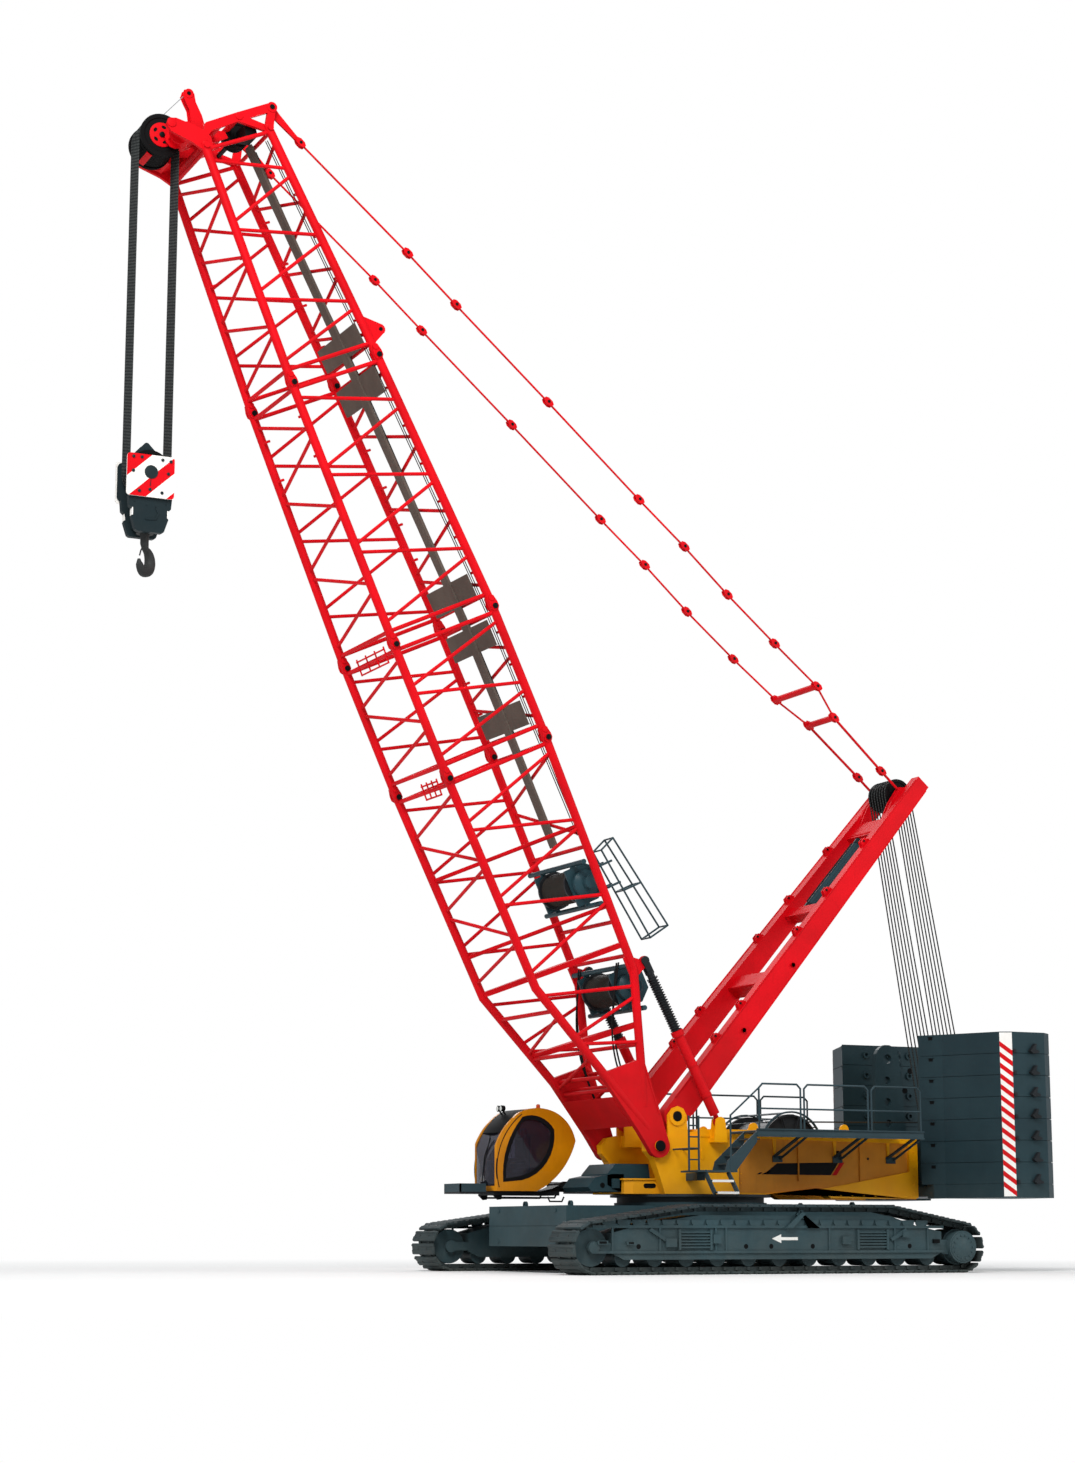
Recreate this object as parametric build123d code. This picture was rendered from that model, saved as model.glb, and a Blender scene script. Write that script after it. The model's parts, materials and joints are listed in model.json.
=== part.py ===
from build123d import *
import math
import os

# Crawler crane with a lattice boom, a live mast and a luffing back tackle.
# Millimetres and degrees. +X is forward, +Y is the machine's left, +Z is up, and the ground is z = 0.
# Every size is first placed from the boom foot pin (x = 0); the whole crane is then centred at the end.

# ---- Driving dimensions: undercarriage ----
SLEW_X = -1475.0            # slewing axis, behind the boom foot pin
TRACK_GAUGE = 6960.0        # centre to centre of the two tracks
SHOE_WIDTH = 1180.0
SHOE_PITCH = 285.0
SHOE_GAP = 45.0
SHOE_THICK = 60.0           # pad outside the chain line
CHAIN_THICK = 95.0          # links inside the chain line
WHEEL_RADIUS = 480.0        # chain line on the idler and on the sprocket
WHEEL_BASE = 8790.0         # idler axle to sprocket axle
CARRIER_RADIUS = 260.0      # chain line over the top skids
CARRIER_HEIGHT = 1420.0     # top of the shoes on the raised run
CARRIER_SPREAD = (1925.0, -2625.0)  # front and rear top skid, from the slewing axis
ROLLER_COUNT = 11
ROLLER_RADIUS = 190.0
ROLLER_WIDTH = 620.0
SIDE_FRAME_WIDTH = 860.0
SIDE_FRAME_TOP = 1190.0
SIDE_FRAME_BOTTOM = 300.0
SKIRT = 60.0                # side plate of a side frame
WHEEL_FACE = 376.0          # rim of the idler and of the sprocket
WHEEL_HALF = 300.0
HUB_RADIUS = 340.0
HUB_REACH = 130.0           # final drive cover past the side frame
CARBODY_HALF = 1900.0       # half length and half width of the centre box
CARBODY_BOTTOM = 520.0
CARBODY_TOP = 1480.0
ARM_HALF = 470.0            # half width of a transverse arm
ARM_SPREAD = 1400.0         # arm from the slewing axis
CARBODY_WEIGHT_LENGTH = 2100.0
RING_RADIUS = 1620.0
RING_TOP = 1599.7
TURNTABLE_BOTTOM = 1600.0

# ---- Driving dimensions: superstructure ----
FOOT_Z = 2668.0             # boom foot pin
FRAME_HALF = 1150.0         # outer face of a side plate
FRAME_PLATE = 200.0
FRAME_TOP = 3050.0
FRAME_BOTTOM = 1650.0
FRAME_REAR = -6650.0
PIN_BOOM = 230.0            # diameters of the main pins
PIN_MAST = 190.0
PIN_SMALL = 110.0
PIN_CLEAR = 0.1             # running gap round a pin
SIDE_CLEAR = 12.0           # running gap beside an ear
MAST_FOOT = (-500.0, 3310.0)
STACK_SLABS = 7
SLAB_HEIGHT = 475.0
SLAB_SEAM = 12.0
TRAY_HEIGHT = 300.0
TRAY_BOTTOM = 1590.0
STACK_INNER = 1600.0
STACK_OUTER = 3570.0
STACK_REAR = -8900.0
LOWER_BLOCK = (-8280.0, 3350.0)
LUFF_SHEAVE_RADIUS = 360.0
LUFF_SHEAVE_COUNT = 7
LUFF_SHEAVE_PITCH = 160.0
LUFF_DRUM = (-3500.0, 2700.0)
LUFF_DRUM_RADIUS = 720.0
WALK_OUTER = 2360.0
WALK_FRONT = -1800.0
WALK_REAR = -6050.0
RAIL_BAYS = ((-1860.0, -2900.0), (-2990.0, -4620.0), (-4710.0, -5990.0))
LANDING_Z = 2140.0
WALK_Z = 2990.0
WALK_DECK = 40.0
RAIL_HEIGHT = 1000.0
RAIL_TUBE = 42.0

# ---- Driving dimensions: cab ----
CAB_FRONT = 2620.0
CAB_BOW = 110.0              # how far the screen bows out ahead of the side walls
CAB_REAR = 580.0
CAB_FLOOR = 1740.0
CAB_ROOF = 3560.0
CAB_INNER_Y = -1530.0       # side next to the boom
CAB_WIDTH = 1180.0
CAB_WALL = 60.0
GLASS_THICK = 12.0
GLASS_FIT = 3.0

# ---- Driving dimensions: boom ----
BOOM_ANGLE = 65.1
CHORD = 190.0
BRACE = 78.0
POST = 92.0
FOOT_HALF = 1250.0          # foot plate centre
FOOT_PLATE = 170.0
NODE_GAP = 80.0             # half the space between two braces at a node
BRACE_INSET = 50.0          # brace end from the chord's axis
# Stations along the boom: distance from the foot pin, belly, back, and half width of the chord axes.
BOOM_STATIONS = {
    "joint_1": (9110.0, -1380.0, 1170.0, 1385.0),
    "joint_2": (12160.0, -1350.0, 1180.0, 1385.0),
    "joint_3": (18110.0, -1160.0, 970.0, 1230.0),
    "head": (23500.0, -860.0, 700.0, 1080.0),
}
BELLY_KINK = (4200.0, -1310.0, 1335.0)   # along, across, half width
BACK_KINK = (3660.0, 1030.0, 1335.0)
BELLY_FOOT = (420.0, -70.0, 1250.0)
BACK_FOOT = (900.0, 60.0, 1250.0)
BACKSTOP_LUG = (3740.0, 1350.0)          # along, across
HEAD_SHEAVE_AT = (24060.0, -1400.0)
HEAD_SHEAVE_RADIUS = 430.0
HORN_EYE = (24870.0, -260.0)
HORN_BORE = 45.0            # radius of the eye for a jib or a guy line
HORN_HALF = 70.0            # horn plates' middle, from the middle of the boom
PENDANT_PIN = (23840.0, 967.0)
PENDANT_Y = 950.0
PENDANT_EYE = 60.0
WINCHES = {"hoist_winch_upper": (5750.0, 1000.0), "hoist_winch_lower": (3300.0, 1040.0)}
WINCH_RADIUS = 420.0
WINCH_WIDTH = 1500.0
BASKET_SEAT = ((5500.0, 6000.0), 1300.0)   # along and across of the basket's carriers
BASKET_TUBE = 60.0
STRIP_WIDTH = 300.0          # rope trough in the boom
STRIP_THICK = 60.0
STRIP_DROP = 130.0
STRIP_Y = 150.0
STRIP_FOOT = 6700.0          # lower end, along the boom
STRIP_HANGERS = (            # from a station: distance before it, rise of the back face there
    ("joint_1", 210.0, -9.0), ("joint_2", 210.0, -1.0), ("joint_3", 210.0, 6.0), ("head", 160.0, 8.0),
)

# ---- Driving dimensions: mast and rigging ----
MAST_ANGLE = 48.65          # above the horizontal, leaning back
MAST_LENGTH = 10420.0
MAST_FOOT_Y = 1000.0
MAST_HEAD_Y = 730.0
MAST_LEG_WIDTH = 300.0
MAST_DEPTH = (560.0, 360.0)
MAST_PIN_AT = (MAST_LENGTH - 430.0, 206.0)            # pendant pin: along, across
MAST_BOXES = (              # cross boxes: start along, across, length, depth
    (3850.0, 0.0, 420.0, 300.0),
    (MAST_PIN_AT[0] - 3790.0, 10.0, 260.0, 260.0),
    (MAST_PIN_AT[0] - 1290.0, 40.0, 500.0, 240.0),
)
MAST_EAR_OUTLINE = (        # from the pendant pin: along, across
    (-990.0, -266.0), (-990.0, -66.0), (-430.0, 94.0), (-140.0, 124.0),
    (0.0, 144.0), (120.0, 64.0), (130.0, -76.0), (30.0, -186.0),
)
MAST_CYLINDER_AT = (30.0, -200.0)                     # across the mast, beside its centre
MAST_CYLINDER_SIZE = 190.0
MAST_PENDANT_Y = 500.0
MAST_SHEAVE_RADIUS = 330.0
MAST_SHEAVE_PITCH = 110.0
MAST_EAR = 40.0             # ear beside a mast leg
BACKSTOP_FOOT = (-1450.0, 3200.0)
BACKSTOP_FORK = 85.0        # fork plate from the backstop's centre plane
BACKSTOP_Y = 1335.0
BACKSTOP_TUBE = 220.0
BACKSTOP_BORE = 190.0
BACKSTOP_TUBE_LENGTH = 2200.0
BACKSTOP_ROD = 165.0
BACKSTOP_ROD_LENGTH = 2750.0
BACKSTOP_THROAT = 260.0
HOOK_BLOCK_Z = 16500.0      # axle of the block's sheaves
FALLS = (-250.0, -150.0, -50.0, 50.0, 150.0, 250.0)
ROPE = 32.0
BLOCK_LENGTH = 1180.0
BLOCK_WIDTH = 750.0
BLOCK_SHEAVE_RADIUS = 430.0
HOOK_OPEN = 170.0           # inner radius of the hook
HOOK_TURN = 45.0             # degrees that the hook is turned about its shank

COS, SIN = math.cos(math.radians(BOOM_ANGLE)), math.sin(math.radians(BOOM_ANGLE))
MAST_COS, MAST_SIN = math.cos(math.radians(MAST_ANGLE)), math.sin(math.radians(MAST_ANGLE))


def on_boom(along, across, y=0.0):
    """Point given along the boom and across it towards its back."""
    return (along * COS - across * SIN, y, FOOT_Z + along * SIN + across * COS)


def on_mast(along, across, y=0.0):
    """Point given along the mast and across it, towards its upper side."""
    return (
        MAST_FOOT[0] - along * MAST_COS + across * MAST_SIN,
        y,
        MAST_FOOT[1] + along * MAST_SIN + across * MAST_COS,
    )


def rod(start, end, diameter):
    """Round bar between two points."""
    axis = Vector(*end) - Vector(*start)
    return Solid.make_cylinder(diameter / 2, axis.length, Plane(origin=start, z_dir=axis))


def pin(at, y_low, y_high, diameter):
    """Round bar across the machine at (x, z)."""
    return rod((at[0], y_low, at[1]), (at[0], y_high, at[1]), diameter)


def pin_z(at, z_low, z_high, diameter):
    """Upright round bar at (x, y)."""
    return rod((at[0], at[1], z_low), (at[0], at[1], z_high), diameter)


def block(x_range, y_range, z_range):
    """Box between three pairs of limits."""
    (x0, x1), (y0, y1), (z0, z1) = (sorted(pair) for pair in (x_range, y_range, z_range))
    return Solid.make_box(x1 - x0, y1 - y0, z1 - z0, Plane(origin=(x0, y0, z0)))


def side_plate(points, y_low, y_high):
    """Plate whose outline is (x, z) points, from y_low to y_high."""
    outline = Wire.make_polygon([(x, y_low, z) for x, z in points], close=True)
    return Solid.extrude(Face(outline), Vector(0, y_high - y_low, 0))


def flat_plate(points, z_low, z_high):
    """Plate whose outline is (x, y) points, from z_low to z_high."""
    outline = Wire.make_polygon([(x, y, z_low) for x, y in points], close=True)
    return Solid.extrude(Face(outline), Vector(0, 0, z_high - z_low))


def boom_plate(points, y_low, y_high):
    """Side plate whose outline is given along and across the boom."""
    return side_plate([on_boom(*point)[::2] for point in points], y_low, y_high)


def mast_plate(points, y_low, y_high):
    """Side plate whose outline is given along and across the mast."""
    return side_plate([on_mast(*point)[::2] for point in points], y_low, y_high)


def beam(start, end, width, depth, up=(0, 0, 1)):
    """Square bar between two points: width lies level, depth towards up."""
    axis = Vector(*end) - Vector(*start)
    side = Vector(*up).cross(axis)
    face = Plane(origin=start, x_dir=side, z_dir=axis)
    return Solid.make_box(
        width, depth, axis.length,
        Plane(origin=face.from_local_coords((-width / 2, -depth / 2, 0)), x_dir=face.x_dir, z_dir=face.z_dir),
    )


def joined(pieces):
    """One shape from pieces that meet."""
    first, *rest = list(pieces)
    return first.fuse(*rest) if rest else first


def mirrored(piece):
    """The same piece on the machine's right."""
    return piece.mirror(Plane.XZ)


def both(piece):
    """A piece and its twin on the other side, apart from each other."""
    return [piece, mirrored(piece)]


# ---- Undercarriage ----

WHEEL_Z = WHEEL_RADIUS + SHOE_THICK
IDLER_X = SLEW_X + WHEEL_BASE / 2
SPROCKET_X = SLEW_X - WHEEL_BASE / 2
CARRIER_Z = CARRIER_HEIGHT - SHOE_THICK - CARRIER_RADIUS
# Round supports that the chain line wraps, anticlockwise seen from the left side: x, z, radius.
TRACK_WRAP = (
    (SPROCKET_X, WHEEL_Z, WHEEL_RADIUS),
    (IDLER_X, WHEEL_Z, WHEEL_RADIUS),
    (SLEW_X + CARRIER_SPREAD[0], CARRIER_Z, CARRIER_RADIUS),
    (SLEW_X + CARRIER_SPREAD[1], CARRIER_Z, CARRIER_RADIUS),
)


def chain_spans():
    """Straight runs and arcs of the chain line, each as (kind, data, length)."""
    normals = []
    for i, (x, z, r) in enumerate(TRACK_WRAP):
        x2, z2, r2 = TRACK_WRAP[(i + 1) % len(TRACK_WRAP)]
        reach = math.hypot(x2 - x, z2 - z)
        lean = math.asin((r - r2) / reach)
        normals.append(math.atan2(z2 - z, x2 - x) - math.pi / 2 + lean)
    spans = []
    for i, (x, z, r) in enumerate(TRACK_WRAP):
        turn = (normals[i] - normals[i - 1]) % (2 * math.pi)
        spans.append(("arc", (x, z, r, normals[i - 1], turn), r * turn))
        x2, z2, r2 = TRACK_WRAP[(i + 1) % len(TRACK_WRAP)]
        out = (math.cos(normals[i]), math.sin(normals[i]))
        start = (x + r * out[0], z + r * out[1])
        end = (x2 + r2 * out[0], z2 + r2 * out[1])
        spans.append(("run", (start, end, out), math.dist(start, end)))
    return spans


SPANS = chain_spans()
CHAIN_LENGTH = sum(length for _, _, length in SPANS)
SHOE_COUNT = round(CHAIN_LENGTH / SHOE_PITCH)


def chain_point(distance, outward):
    """(x, z) at a distance along the chain line, moved outward from it."""
    distance %= CHAIN_LENGTH
    for kind, data, length in SPANS:
        if distance <= length:
            break
        distance -= length
    if kind == "arc":
        x, z, r, first, turn = data
        angle = first + turn * distance / length
        return (x + (r + outward) * math.cos(angle), z + (r + outward) * math.sin(angle))
    (x1, z1), (x2, z2), out = data
    share = distance / length
    return (x1 + (x2 - x1) * share + outward * out[0], z1 + (z2 - z1) * share + outward * out[1])


def track_loop():
    """The left track: one closed loop with every shoe standing out of it."""
    pitch = CHAIN_LENGTH / SHOE_COUNT
    outside, inside = [], []
    for k in range(SHOE_COUNT):
        low, high = k * pitch + SHOE_GAP / 2, (k + 1) * pitch - SHOE_GAP / 2
        outside += [chain_point(low, 0), chain_point(low, SHOE_THICK)]
        outside += [chain_point(high, SHOE_THICK), chain_point(high, 0)]
        inside += [chain_point((k + share) * pitch, -CHAIN_THICK) for share in (0.25, 0.75)]
    y_low, y_high = TRACK_GAUGE / 2 - SHOE_WIDTH / 2, TRACK_GAUGE / 2 + SHOE_WIDTH / 2
    loop = side_plate(outside, y_low, y_high) - side_plate(inside, y_low - 1, y_high + 1)
    return loop


def side_frame():
    """Left side frame: a box beam with skirts beside the rollers and forks for the idler's axle."""
    y_mid, half = TRACK_GAUGE / 2, SIDE_FRAME_WIDTH / 2
    front, rear = IDLER_X - 420, SPROCKET_X + 460
    outline = (
        (front, 545), (front, 830), (front - 700, 1010),
        (SLEW_X + CARRIER_SPREAD[0], SIDE_FRAME_TOP), (SLEW_X + CARRIER_SPREAD[1], SIDE_FRAME_TOP),
        (rear + 620, 980), (rear, 860), (rear, 545),
    )
    skirt = ((front, 560), (front, 430), (front - 260, SIDE_FRAME_BOTTOM), (rear + 260, SIDE_FRAME_BOTTOM),
             (rear, 430), (rear, 560))
    pieces = [side_plate(outline, y_mid - half, y_mid + half)]
    for s in (-1, 1):
        y0, y1 = sorted((y_mid + s * (half - SKIRT), y_mid + s * half))
        pieces.append(side_plate(skirt, y0, y1))
        pieces.append(block((IDLER_X + 40, front - 20), (y0, y1), (WHEEL_Z - 90, WHEEL_Z + 90)))
        pieces.append(pin((IDLER_X, WHEEL_Z), y0, y1, 260))
    return joined(pieces)


def idler():
    """Left front idler wheel with its axle."""
    y_mid, reach = TRACK_GAUGE / 2, SIDE_FRAME_WIDTH / 2 - SKIRT
    wheel = pin((IDLER_X, WHEEL_Z), y_mid - WHEEL_HALF, y_mid + WHEEL_HALF, 2 * WHEEL_FACE)
    return wheel.fuse(pin((IDLER_X, WHEEL_Z), y_mid - reach, y_mid + reach, 180))


def final_drive():
    """Left sprocket with its final drive cover and the bracket that bolts it to the side frame."""
    y_mid, half = TRACK_GAUGE / 2, SIDE_FRAME_WIDTH / 2
    wheel = pin((SPROCKET_X, WHEEL_Z), y_mid - WHEEL_HALF, y_mid + WHEEL_HALF, 2 * WHEEL_FACE)
    cover = pin((SPROCKET_X, WHEEL_Z), y_mid - half, y_mid + half + HUB_REACH, 2 * HUB_RADIUS)
    pieces = [wheel, cover]
    for s in (-1, 1):
        y0, y1 = sorted((y_mid + s * (half - SKIRT), y_mid + s * half))
        pieces.append(block((SPROCKET_X, SPROCKET_X + 460), (y0, y1), (WHEEL_Z - 150, WHEEL_Z + 150)))
    return joined(pieces)


def rollers():
    """Row of bottom rollers under the left side frame, each on an axle between the skirts."""
    y_mid, reach = TRACK_GAUGE / 2, SIDE_FRAME_WIDTH / 2 - SKIRT
    centre = SHOE_THICK + CHAIN_THICK + ROLLER_RADIUS + 0.5
    first, last = IDLER_X - 720, SPROCKET_X + 760
    row = []
    for k in range(ROLLER_COUNT):
        x = first + (last - first) * k / (ROLLER_COUNT - 1)
        wheel = pin((x, centre), y_mid - ROLLER_WIDTH / 2, y_mid + ROLLER_WIDTH / 2, 2 * ROLLER_RADIUS)
        row.append(wheel.fuse(pin((x, centre), y_mid - reach, y_mid + reach, 90)))
    return row


def carbody():
    """Centre box with four arms to the side frames and the seat of the slewing ring."""
    inner = TRACK_GAUGE / 2 - SIDE_FRAME_WIDTH / 2
    box_x = (SLEW_X - CARBODY_HALF, SLEW_X + CARBODY_HALF)
    box_y = (-CARBODY_HALF, CARBODY_HALF)
    core = block(box_x, box_y, (CARBODY_BOTTOM, CARBODY_TOP - 160))
    seat = rod((SLEW_X, 0, CARBODY_TOP - 200), (SLEW_X, 0, CARBODY_TOP), 2 * RING_RADIUS + 120)
    arms = [
        block((SLEW_X + s * ARM_SPREAD - ARM_HALF, SLEW_X + s * ARM_SPREAD + ARM_HALF), (-inner, inner), (560, 1160))
        for s in (-1, 1)
    ]
    return joined([core, seat, *arms])


def carbody_weight(sign):
    """Low counterweight on the front or rear of the carbody: two slabs with a seam."""
    near = SLEW_X + sign * CARBODY_HALF
    far = near + sign * CARBODY_WEIGHT_LENGTH
    slabs = [
        block((near, far), (-CARBODY_HALF, CARBODY_HALF), (550, 975)),
        block((near, far), (-CARBODY_HALF, CARBODY_HALF), (985, 1400)),
        block((near, far - sign * 20), (20 - CARBODY_HALF, CARBODY_HALF - 20), (950, 1000)),
    ]
    return joined(slabs)


def slewing_ring():
    return rod((SLEW_X, 0, CARBODY_TOP), (SLEW_X, 0, RING_TOP), 2 * RING_RADIUS)


# ---- Superstructure ----

def main_frame():
    """Two box side plates with ears for boom, mast and backstops, deck plates and cross members."""
    outline = (
        (-230, FRAME_BOTTOM), (60, 2380), (230, 2560), (250, 2740), (90, 2900), (-200, 2960),
        (-1000, 2990), (-1060, FRAME_TOP), (FRAME_REAR, FRAME_TOP), (FRAME_REAR, 1580), (-4350, 1580),
        (-3950, 1800), (-2750, FRAME_BOTTOM),
    )
    inner = FRAME_HALF - FRAME_PLATE
    plates = both(side_plate(outline, inner, FRAME_HALF))
    cross = [
        block((-700, -2650), (-inner, inner), (FRAME_BOTTOM, FRAME_BOTTOM + 180)),
        block((-1000, -1400), (-inner, inner), (FRAME_TOP - 500, FRAME_TOP)),
        block((-2250, -2550), (-inner, inner), (FRAME_BOTTOM + 180, FRAME_TOP)),
        block((-4500, -4800), (-inner, inner), (1800, FRAME_TOP)),
        block((-4800, FRAME_REAR), (-inner, inner), (1700, 1900)),
        block((FRAME_REAR + 200, FRAME_REAR), (-inner, inner), (1700, FRAME_TOP)),
        block((-1400, -2300), (-inner, inner), (FRAME_TOP - 60, FRAME_TOP)),
        block((-4750, FRAME_REAR + 100), (-inner, inner), (FRAME_TOP - 60, FRAME_TOP)),
    ]
    feet = both(pin((0.0, FOOT_Z), inner, FOOT_HALF + FOOT_PLATE / 2 + 30, PIN_BOOM))
    # Fork for each mast leg: an ear on both sides of it, on brackets from the side plate.
    ear = ((-270, 2700), (-270, 3330), (-380, 3480), (-520, 3530), (-660, 3480), (-740, 3330), (-780, 2700))
    low = MAST_FOOT_Y - MAST_LEG_WIDTH / 2 - SIDE_CLEAR
    high = MAST_FOOT_Y + MAST_LEG_WIDTH / 2 + SIDE_CLEAR
    for y0, y1 in ((low - MAST_EAR, low), (high, high + MAST_EAR)):
        feet += both(side_plate(ear, y0, y1))
        feet += both(block((-270, -780), (min(y0, inner), max(y1, FRAME_HALF)), (2700, 2950)))
    feet += both(pin(MAST_FOOT, low - MAST_EAR, high + MAST_EAR + 10, PIN_MAST))
    # Fork for each backstop's foot.
    for side in (-1, 1):
        y = BACKSTOP_Y + side * BACKSTOP_FORK
        fork = side_plate(((-1290, 2850), (-1340, 3260), (-1560, 3260), (-1610, 2850)), y - 20, y + 20)
        feet += both(fork.fuse(pin(BACKSTOP_FOOT, y - 20, y + 20, 220)))
    feet += both(block((-1290, -1610), (FRAME_HALF, BACKSTOP_Y + BACKSTOP_FORK + 20), (2760, 2860)))
    feet += both(pin(BACKSTOP_FOOT, BACKSTOP_Y - BACKSTOP_FORK - 20, BACKSTOP_Y + BACKSTOP_FORK + 20, PIN_SMALL))
    return joined([*plates, *cross, *feet])


def turntable():
    """Round deck plate on the slewing ring."""
    return rod((SLEW_X, 0, TURNTABLE_BOTTOM), (SLEW_X, 0, FRAME_BOTTOM), 2 * RING_RADIUS + 300)


def front_box():
    """Dark six-sided gear case ahead of the frame."""
    outline = ((-180, 1700), (620, 1700), (900, 1850), (900, 2080), (700, 2300), (-100, 2300))
    case = side_plate(outline, -620, 620)
    foot = block((-700, -180), (-620, 620), (1700, 1830))
    return joined([case, foot])


def power_pack():
    """Closed engine housing on the right side, behind the cab."""
    housing = block((-1700, -6350), (-FRAME_HALF - 1450, -FRAME_HALF), (1760, WALK_Z - WALK_DECK))
    for x in (-6200, -5320, -4440, -3560, -2680):
        housing = housing - block((x, x + 720), (-FRAME_HALF - 1460, -FRAME_HALF - 1420), (1900, 2800))
    return housing


WALK_PLAN = (
    (WALK_FRONT, FRAME_HALF), (WALK_FRONT, WALK_OUTER), (WALK_REAR, WALK_OUTER), (WALK_REAR, FRAME_HALF),
)


def walkway(struts):
    """Grating platform beside the frame with its edge beam; the open side has struts under it."""
    deck = flat_plate(WALK_PLAN, WALK_Z - WALK_DECK, WALK_Z)
    low = WALK_Z - (120 if struts else WALK_DECK)
    pieces = [deck, block((WALK_FRONT, WALK_REAR), (WALK_OUTER, WALK_OUTER + 40), (low, WALK_Z + 40))]
    if struts:
        for x in (-2950, -4500, -5900):
            pieces.append(rod((x, FRAME_HALF - 80, 2450), (x, WALK_OUTER + 5, WALK_Z - 60), 70))
        return joined(pieces) - block((0, -8000), (0, FRAME_HALF), (2000, WALK_Z + 100))
    return mirrored(joined(pieces))


def railing(handrail):
    """Left guard rails: one panel of bent tube to a bay, on two posts; the stair's handrail is on one side."""
    y, low, high = WALK_OUTER + 20, WALK_Z + 40, WALK_Z + RAIL_HEIGHT
    middle, bend = low + (high - low) * 0.45, 90
    pieces = []
    for front, rear in RAIL_BAYS:
        corners = ((front, low), (front, high - bend), (front - bend, high), (rear + bend, high),
                   (rear, high - bend), (rear, low))
        pieces += [rod((a[0], y, a[1]), (b[0], y, b[1]), RAIL_TUBE) for a, b in zip(corners, corners[1:])]
        pieces += [Solid.make_sphere(RAIL_TUBE / 2 + 0.5, Plane(origin=(x, y, z))) for x, z in corners[1:5]]
        pieces.append(rod((front, y, middle), (rear, y, middle), RAIL_TUBE - 4))
    for ahead, behind in zip(RAIL_BAYS, RAIL_BAYS[1:]):
        pieces.append(rod((ahead[1], y, middle), (behind[0], y, middle), RAIL_TUBE - 4))
    if handrail:
        front, foot = RAIL_BAYS[0][0], (-1150, 3300)
        pieces += [
            rod((front, y, high - bend), (foot[0], y, foot[1]), RAIL_TUBE - 4),
            rod((foot[0], y, foot[1]), (foot[0], y, LANDING_Z + 330), RAIL_TUBE),
            Solid.make_sphere(RAIL_TUBE / 2 + 0.5, Plane(origin=(foot[0], y, foot[1]))),
        ]
    return joined(pieces)


def access_ladder():
    """Left side access: low steps, a small landing, a ladder and a stair up to the walkway."""
    z, top = LANDING_Z, WALK_Z - WALK_DECK
    pieces = [
        block((-330, -1300), (1650, WALK_OUTER + 40), (z - 40, z)),
        block((-700, -900), (FRAME_HALF, 1700), (z - 200, z - 40)),
    ]
    for x in (-400, -640):
        pieces.append(rod((x, 1900, z - 20), (x, 1900, 3300), 45))
        pieces.append(rod((x, FRAME_HALF, 2600), (x, 1900, 2600), 40))
    pieces += [rod((-400, 1900, z + step), (-640, 1900, z + step), 32) for step in (230, 470, 710, 950)]
    # Stair: two side plates with treads between them, its head on the walkway's front edge.
    run = (-1010, WALK_FRONT + 0.2)
    for y in (1830, WALK_OUTER + 10):
        string = ((run[0], z), (run[0] - 60, z + 200), (run[1], top + 30), (run[1], top - 200), (run[0] - 280, z))
        pieces.append(side_plate(string, y - 15, y + 15))
    for k in range(4):
        share = (k + 0.8) / 4.6
        x, level = run[0] - 90 + (run[1] - run[0]) * share, z + (top - z) * share
        pieces.append(block((x - 120, x + 120), (1830, WALK_OUTER + 10), (level - 15, level + 15)))
    for x in (-560, -1120):
        pieces.append(beam((x, 2300, z - 30), (x, 2720, 1640), 30, 120))
    for share in (0.4, 0.92):
        at, level = 2300 + 420 * share, z - 30 - 480 * share
        pieces.append(block((-575, -1105), (at - 110, at + 110), (level - 15, level + 15)))
    pieces.append(rod((-1150, WALK_OUTER + 20, z - 20), (-1150, WALK_OUTER + 20, z + 329.9), RAIL_TUBE + 8))
    return joined(pieces)


def stack_outline(inset):
    """Plan of the left counterweight stack, inset all round."""
    return (
        (-6500 - inset, STACK_INNER + inset), (-6800 - inset, 2100 + inset * 0.2),
        (-7400 - inset, 3450 - inset * 0.4), (-7650, STACK_OUTER - inset),
        (-8520, STACK_OUTER - inset), (-8820 + inset * 0.5, 3330 - inset),
        (STACK_REAR + inset, 2500), (STACK_REAR + inset, STACK_INNER + inset),
    )


def counterweight_stack():
    """Seven slabs on each side, keyed to each other, with a seam between each pair."""
    base = TRAY_BOTTOM + TRAY_HEIGHT
    slabs = [
        flat_plate(
            stack_outline(0), base + k * SLAB_HEIGHT + SLAB_SEAM / 2, base + (k + 1) * SLAB_HEIGHT - SLAB_SEAM / 2
        )
        for k in range(STACK_SLABS)
    ]
    core = flat_plate(stack_outline(30), base, base + STACK_SLABS * SLAB_HEIGHT - SLAB_SEAM / 2)
    return joined([core, *slabs])


def counterweight_tray():
    """Base plate under both stacks, joined behind the frame."""
    low, high = TRAY_BOTTOM, TRAY_BOTTOM + TRAY_HEIGHT
    wings = both(flat_plate(stack_outline(0), low, high))
    middle = block((FRAME_REAR, STACK_REAR), (-STACK_INNER - 200, STACK_INNER + 200), (low + 40, high - 40))
    notch = block((FRAME_REAR, FRAME_REAR + 400), (-2500, 2500), (low - 1, high + 1))
    tray = joined([middle, *wings]) - notch
    return tray


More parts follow.
